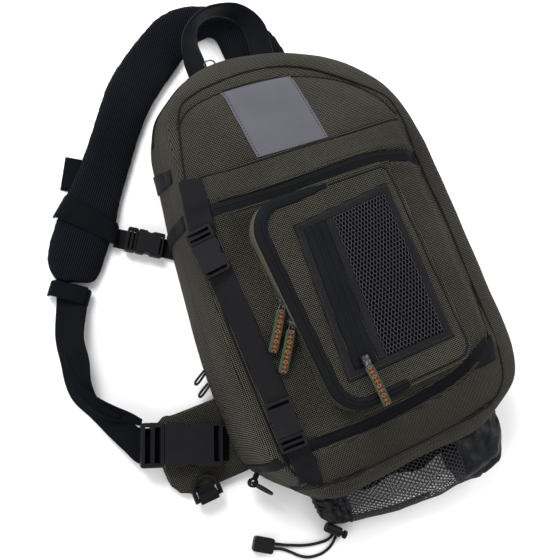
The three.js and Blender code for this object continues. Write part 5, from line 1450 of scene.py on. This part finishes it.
def make_stabiliser():
    """Webbing either side of the stabiliser's buckle."""
    start = at(-1.19, 0.42)
    direction = Vector((0.85, -0.53, 0)).normalized()
    for name, node, near, far in STABILISER_RUNS:
        ends = [start + direction * near * MM, start + direction * far * MM]
        strip = flat_strip(ends, 20 * MM, WEBBING_SECTION, 2.9 * MM)
        piece(name, strip, "webbing", "webbing", replaces=(node,))


HANDLE_ROWS = [
    (-0.232, 1.0, 19, 0), (-0.235, 1.1, 21, 12), (-0.2, 1.21, 25, 45), (-0.09, 1.285, 28, 80),
    (0.06, 1.3, 29, 92), (0.2, 1.265, 28, 105), (0.285, 1.17, 25, 140), (0.28, 1.06, 21, 168),
    (0.26, 0.955, 19, 180),
]


HANDLE_STEPS = 60
HANDLE_HALF_WIDTH = 12.6 * MM


def make_carry_handle():
    """The carry handle, flat at its feet and on edge over its arch."""
    points = [at(x, y, z) for x, y, z, _ in HANDLE_ROWS]
    centres = spread(points, HANDLE_STEPS)
    fine = 80
    guide = spread(points, fine)
    halves = []
    for k, (*_, turn) in enumerate(HANDLE_ROWS):
        before, after = neighbours(guide, round(k * fine / (len(HANDLE_ROWS) - 1)))
        flat = upward(1).cross(after - before)
        flat.z = 0
        flat.normalize()
        swing = math.radians(turn - 180 if turn > 90 else turn)
        reach = -1 if turn > 90 else 1
        half = flat * math.cos(swing) + upward(math.sin(swing) * reach)
        if halves and half.dot(halves[-1]) < 0:
            half = -half
        halves.append(half)
    rings = []
    for i, (p, half) in enumerate(zip(centres, spread(halves, HANDLE_STEPS))):
        before, after = neighbours(centres, i)
        half = half.normalized() * HANDLE_HALF_WIDTH
        normal = half.cross((after - before).normalized()).normalized()
        ring = []
        for side, section in ((1, WEBBING_SECTION), (-1, WEBBING_SECTION[::-1])):
            for share, height in section:
                ring.append(p + half * (2 * share - 1) + normal * (side * height * 0.85 * MM))
        rings.append(ring)
    piece("handle_webbing", loft(rings), "handle", "webbing", replaces=("carry_handle",))


# The net pouch

POUCH = [
    (-0.62, -1.1, 0.3), (-0.57, -1.145, 0.42), (-0.5, -1.165, 0.5), (-0.4, -1.178, 0.62), (-0.1, -1.222, 0.8),
    (0.2, -1.242, 0.95), (0.36, -1.236, 1), (0.54, -1.246, 1), (0.72, -1.215, 0.95), (0.81, -1.14, 0.8),
    (0.84, -1.06, 0.6),
]
POUCH_TOP = -0.94
POUCH_STEPS = 40
POUCH_SIDES = 64
POUCH_NET_WIDTH = 155 * MM
POUCH_NET_HEIGHT = 132 * MM
POUCH_THREAD = 0.52 * MM


def pouch_section(x):
    """Centre, half height and half depth of the pouch at a share across."""
    row_low = [(a, b) for a, b, _ in POUCH]
    row_deep = [(a, c) for a, _, c in POUCH]
    low = profile(row_low, x) * HALF_HEIGHT
    high = POUCH_TOP * HALF_HEIGHT
    depth = profile(row_deep, x) * POUCH_DEPTH
    return Vector((x * HALF_WIDTH, (low + high) / 2, MM + depth / 2)), (high - low) / 2, depth / 2


def pouch_point(x, angle, inset=0.0):
    centre, tall, deep = pouch_section(x)
    return centre + Vector((0, math.cos(angle) * (tall - inset), math.sin(angle) * (deep - inset)))


def make_pouch():
    """The drawcord pouch: a net, plain nylon on the right and a gathered hem on the left."""
    hem, fabric = -0.44, 0.4

    def on_pouch(across, around):
        x = hem + (fabric - hem) * around
        angle = math.radians(62 + 236 * across)
        ripple = 0.9 * MM * noise.noise(Vector((x * 9, angle * 2.5, 0.3)))
        return pouch_point(x, angle, 0.8 * MM + ripple)

    pitch = sizes().pouch_net
    columns = round(POUCH_NET_WIDTH / pitch)
    rows = round(POUCH_NET_HEIGHT / (pitch * 1.2))
    net = knit(on_pouch, columns, rows, POUCH_THREAD)
    piece("pouch_net", net, "net", "net", replaces=("net_pouch",))

    def skin(start, end, folds, depth, seed, bulge=0.0):
        """Cloth round the pouch between two shares across, with a number of folds of a depth."""
        rings = []
        for k in range(POUCH_STEPS + 1):
            share = k / POUCH_STEPS
            x = start + (end - start) * share
            ring = []
            for i in range(POUCH_SIDES):
                angle = TAU * i / POUCH_SIDES
                fold = depth * math.sin(folds * angle + 5.0 * share + seed)
                spot = Vector((share * 6 + seed, math.cos(angle) * 3, math.sin(angle) * 3))
                fold += depth * 2.2 * noise.noise(spot)
                out = bulge * math.sin(math.pi * smoothstep(share, 0.0, 1.5))
                p = pouch_point(x, angle, max(0.0, 1.2 * MM + fold) - out)
                p.z = max(p.z, 0.6 * MM)
                ring.append(p)
            rings.append(ring)
        return loft(rings)

    cloth = skin(fabric, 0.85, 7, 1.9 * MM, 0.7, 3.5 * MM)
    piece("pouch_cloth", cloth, "nylon", "black_nylon", replaces=("pouch_fabric",))
    gathers = skin(-0.62, hem, 17, 2.1 * MM, 2.1)
    piece("pouch_gathers", gathers, "nylon", "black_nylon", replaces=("pouch_hem",))
    # A near-black sheet behind the net's upper part: painted shade inside the pouch
    rings = []
    for k in range(POUCH_STEPS + 1):
        x = hem + (fabric - hem) * k / POUCH_STEPS
        turns = [math.radians(12 + (68 + 6 * math.sin(x * 17)) * i / 12) for i in range(13)]
        outer = [pouch_point(x, turn, 2.4 * MM) for turn in turns]
        rings.append(outer + [pouch_point(x, turn, 3.0 * MM) for turn in reversed(turns)])
    piece("pouch_shade_sheet", loft(rings), "shade_sheet", "black_nylon")
    rim = Shape()
    rim.join(tube([pouch_point(hem, TAU * k / 48, 0.6 * MM) for k in range(48)], 1.3 * MM, closed=True))
    lower = [pouch_point(hem + (0.17 - hem) * k / 30, math.radians(205), 0.3 * MM) for k in range(31)]
    rim.join(tube(lower, 2.2 * MM))
    piece("pouch_binding", rim, "nylon", "black_nylon")


# Cords

UPPER_CORD = [
    (-0.5764, -1.1995), (-0.62, -1.208), (-0.68, -1.203), (-0.74, -1.193), (-0.8, -1.178), (-0.86, -1.158),
    (-0.91, -1.14), (-0.945, -1.126), (-0.9755, -1.1127),
]
LOWER_CORD = [
    (-0.5581, -1.2124), (-0.62, -1.24), (-0.68, -1.25), (-0.73, -1.248), (-0.79, -1.237), (-0.845, -1.212),
    (-0.89, -1.18), (-0.94, -1.15), (-0.9937, -1.1304),
]


CORD_LEVEL = 2


def make_drawcords():
    """The two strands of the drawcord, laid on the surface."""
    for name, node, points, far in (
        ("cord_strand_upper", "drawcord_upper", UPPER_CORD, "fitting"),
        ("cord_strand_lower", "drawcord_lower", LOWER_CORD, "knot"),
    ):
        route = spread([at(x, y, CORD_LEVEL) for x, y in points], 30)
        strand = piece(name, tube(route, sizes().cord / 2, 10), "cord", "cord", replaces=(node,))
        tuple(route[0])
        round(gathered(route)[-1], 4)
        [tuple(p) for p in route]


def make_side_loops():
    """Two short doubled cords that stand out of the back seam."""
    for node in ("side_loop_1", "side_loop_2"):
        low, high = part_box(node)
        root = Vector((high.x, high.y - 2 * MM, high.z - 2 * MM))
        tip = Vector((low.x + 1.5 * MM, low.y + 3 * MM, low.z + 2.5 * MM))
        side = (tip - root).cross(upward(1)).normalized() * 1.3 * MM
        end = (tip - root).normalized() * 1.2 * MM
        line = spread([root + side, tip + side, tip + end, tip - side, root - side], 20)
        piece(node + "_cord", tube(line, 1.25 * MM), "cord", "cord", replaces=(node,))


# Pulls and hard pieces


def node_axes(node):
    """A node's low and high corner along its long, wide and thin axes, and those axes."""
    points = coordinates(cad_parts[node].data)
    _, vectors = np.linalg.eigh(np.cov((points - points.mean(axis=0)).T))
    thin, wide, long = (Vector(vectors[:, k]).normalized() for k in range(3))
    if thin.z < 0:
        thin = -thin
    low = Vector([(points @ np.array(axis)).min() for axis in (long, wide, thin)])
    high = Vector([(points @ np.array(axis)).max() for axis in (long, wide, thin)])
    return low, high, long, wide, thin


PULL_STEPS = 20
# Share of the width against height, round the section of a pull
PULL_SECTION = (
    (0.0, 0.0), (0.06, 0.8), (0.2, 1.05), (0.5, 1.1), (0.8, 1.05), (0.94, 0.8), (1.0, 0.0), (0.94, -0.5),
    (0.5, -0.6), (0.06, -0.5),
)
# Points of the wire loop, in millimetres along the pull, against shares of its half width
PULL_WIRE = ((1, 2.5), (1, -2), (0.6, -4.5), (0, -5.3), (-0.6, -4.5), (-1, -2), (-1, 2.5))


def make_pull_tapes():
    """The three woven pulls, each with a wire loop at its slider and a folded, stitched end."""
    for index in (1, 2, 3):
        node = f"zip_pull_{index}"
        low, high, long, wide, thin = node_axes(node)
        if long.y > 0:
            long = -long
            low.x, high.x = -high.x, -low.x
        rings = []
        for k in range(PULL_STEPS + 1):
            share = k / PULL_STEPS
            arch = 1.2 * MM * math.sin(math.pi * share)
            narrow = {0: 0.55, PULL_STEPS: 0.86}.get(k, 1.0)
            ring = []
            for across, height in PULL_SECTION:
                wide_by = low.y + (high.y - low.y) * (0.5 + (across - 0.5) * narrow)
                z = (low.z + high.z) / 2 + height * 0.75 * MM + arch
                ring.append(long * (low.x + (high.x - low.x) * share) + wide * wide_by + thin * z)
            rings.append(ring)
        piece(f"woven_pull_{index}", loft(rings), "pull", "pull_tape", replaces=(node,))
        start = long * low.x + wide * ((low.y + high.y) / 2) + thin * ((low.z + high.z) / 2 + 0.8 * MM)
        wire = [start + wide * share * 2.6 * MM + long * reach * MM for share, reach in PULL_WIRE]
        piece(f"pull_wire_{index}", tube(spread(wire, 24), 0.65 * MM), "metal", "zip_metal")


NODE_FINISH = {
    "plastic": ("upper_buckle_latch", "upper_buckle_body", "lower_buckle_latch", "lower_buckle_body",
                "wide_buckle_latch", "wide_buckle_body", "stab_buckle_latch", "stab_buckle_body", "d_ring",
                "tab_ring", "cord_lock", "cord_lock_button", "cord_end"),
    "metal": ("zip_slider_1", "zip_slider_2", "zip_slider_3", "rear_zip_pull"),
    "webbing": ("d_ring_loop", "ring_tab"),
    "spacer": ("back_panel",),
}


def make_hard_pieces():
    """Finishes for the fittings that keep their packed shape."""
    for finish, nodes in NODE_FINISH.items():
        for node in nodes:
            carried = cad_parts[node]
            carried.data.materials.clear()
            carried.data.materials.append(paint(finish))
            for slot in carried.material_slots:
                slot.material = paint(finish)


# The stage

CAMERA_PLACE = Vector((-0.32972, -0.06627, 0.80288))
CAMERA_AXES = ((0.87599, -0.38170, 0.29487), (0.33600, 0.92152, 0.19472), (-0.34605, -0.07150, 0.93549))

PHOTO_SIDE = 560
FOCAL_LENGTH = 800
SENSOR_WIDTH = 36
FLOOR_HALF = 4.0
# Name, place, size in metres and power in watts
LIGHTS = (
    ("key_light", (-0.5, 1.3, 1.4), 0.8, 36),
    ("fill_light", (1.4, 0.1, 1.2), 1.2, 20),
    ("low_light", (-1.5, -0.4, 0.8), 1.0, 15),
)


def make_stage():
    """A pale floor, soft lights and the camera at the photograph's angle."""
    camera = bpy.data.objects.new("camera", bpy.data.cameras.new("camera"))
    camera.data.sensor_width = SENSOR_WIDTH
    camera.data.lens = SENSOR_WIDTH * FOCAL_LENGTH / PHOTO_SIDE
    camera.data.clip_end = 20
    turn = Matrix(CAMERA_AXES).transposed().to_4x4()
    camera.matrix_world = Matrix.Translation(CAMERA_PLACE) @ turn
    scene = bpy.context.scene
    scene.collection.objects.link(camera)
    scene.camera = camera

    mesh = bpy.data.meshes.new("floor")
    corners = [(x * FLOOR_HALF, y * FLOOR_HALF, 0) for x, y in ((-1, -1), (1, -1), (1, 1), (-1, 1))]
    mesh.from_pydata(corners, [], [(0, 1, 2, 3)])
    mesh.materials.append(paint("floor"))
    floor = bpy.data.objects.new("floor", mesh)
    scene.collection.objects.link(floor)

    for name, place, size, power in LIGHTS:
        light = bpy.data.lights.new(name, "AREA")
        light.size = size
        light.energy = power
        lamp = bpy.data.objects.new(name, light)
        lamp.location = place
        aim = upward(0.05) - Vector(place)
        lamp.rotation_euler = aim.to_track_quat("-Z", "Y").to_euler()
        scene.collection.objects.link(lamp)
    world = bpy.data.worlds.new("studio")
    world.use_nodes = True
    background = world.node_tree.nodes["Background"]
    background.inputs["Color"].default_value = (1.0, 1.0, 1.0, 1.0)
    background.inputs["Strength"].default_value = 0.6
    scene.world = world
    scene.view_settings.view_transform = "Standard"


# Operators

STEPS = (
    ("stage", "Stage", make_stage),
    ("drawcords", "Drawcords", make_drawcords),
    ("body", "Body", make_body),
    ("front_zips", "Front zips", make_front_zips),
    ("patch", "Reflective panel", make_patch),
    ("pocket", "Front pocket", make_pocket),
    ("window", "Net window", make_window),
    ("compression_strap", "Compression strap", make_compression_strap),
    ("gusset_webbing", "Gusset webbing", make_gusset_webbing),
    ("rear_zip", "Rear zip", make_rear_zip),
    ("stitching", "Stitching", make_stitching),
    ("shoulder_strap", "Shoulder strap", make_shoulder_strap),
    ("shoulder_webbing", "Shoulder webbing", make_shoulder_webbing),
    ("waist_wing", "Waist wing", make_waist_wing),
    ("stabiliser", "Stabiliser", make_stabiliser),
    ("carry_handle", "Carry handle", make_carry_handle),
    ("pouch", "Net pouch", make_pouch),
    ("side_loops", "Side loops", make_side_loops),
    ("pull_tapes", "Pull tapes", make_pull_tapes),
    ("hard_pieces", "Hard pieces", make_hard_pieces),
)


def operator_for(key, label, build):
    """An operator class that makes one piece or group of like pieces."""

    def execute(self, context):
        build()
        return {"FINISHED"}

    name = "BAG_OT_" + key
    return type(name, (bpy.types.Operator,), {
        "bl_idname": "bag." + key, "bl_label": label, "__doc__": build.__doc__, "execute": execute,
    })


OPERATORS = [operator_for(*step) for step in STEPS]


class BAG_PT_pieces(bpy.types.Panel):
    """Lists the bag's pieces in the 3D view's sidebar."""

    bl_idname = "BAG_PT_pieces"
    bl_label = "Sling bag"
    bl_space_type = "VIEW_3D"
    bl_region_type = "UI"
    bl_category = "Bag"

    def draw(self, context):
        for group in (context.scene.bag_sizes, context.scene.bag_colours):
            for key in group.bl_rna.properties.keys():
                if key not in ("rna_type", "name"):
                    self.layout.prop(group, key)
        for made in OPERATORS:
            self.layout.operator(made.bl_idname)


CLASSES = (BagSizes, BagColours, *OPERATORS, BAG_PT_pieces)


def register():
    for made in CLASSES:
        bpy.utils.register_class(made)
    bpy.types.Scene.bag_sizes = bpy.props.PointerProperty(type=BagSizes)
    bpy.types.Scene.bag_colours = bpy.props.PointerProperty(type=BagColours)


def unregister():
    del bpy.types.Scene.bag_colours
    del bpy.types.Scene.bag_sizes
    for made in reversed(CLASSES):
        bpy.utils.unregister_class(made)


def main():
    register()
    for key, _, _ in STEPS:
        getattr(bpy.ops.bag, key)()


if __name__ == "__main__":
    main()
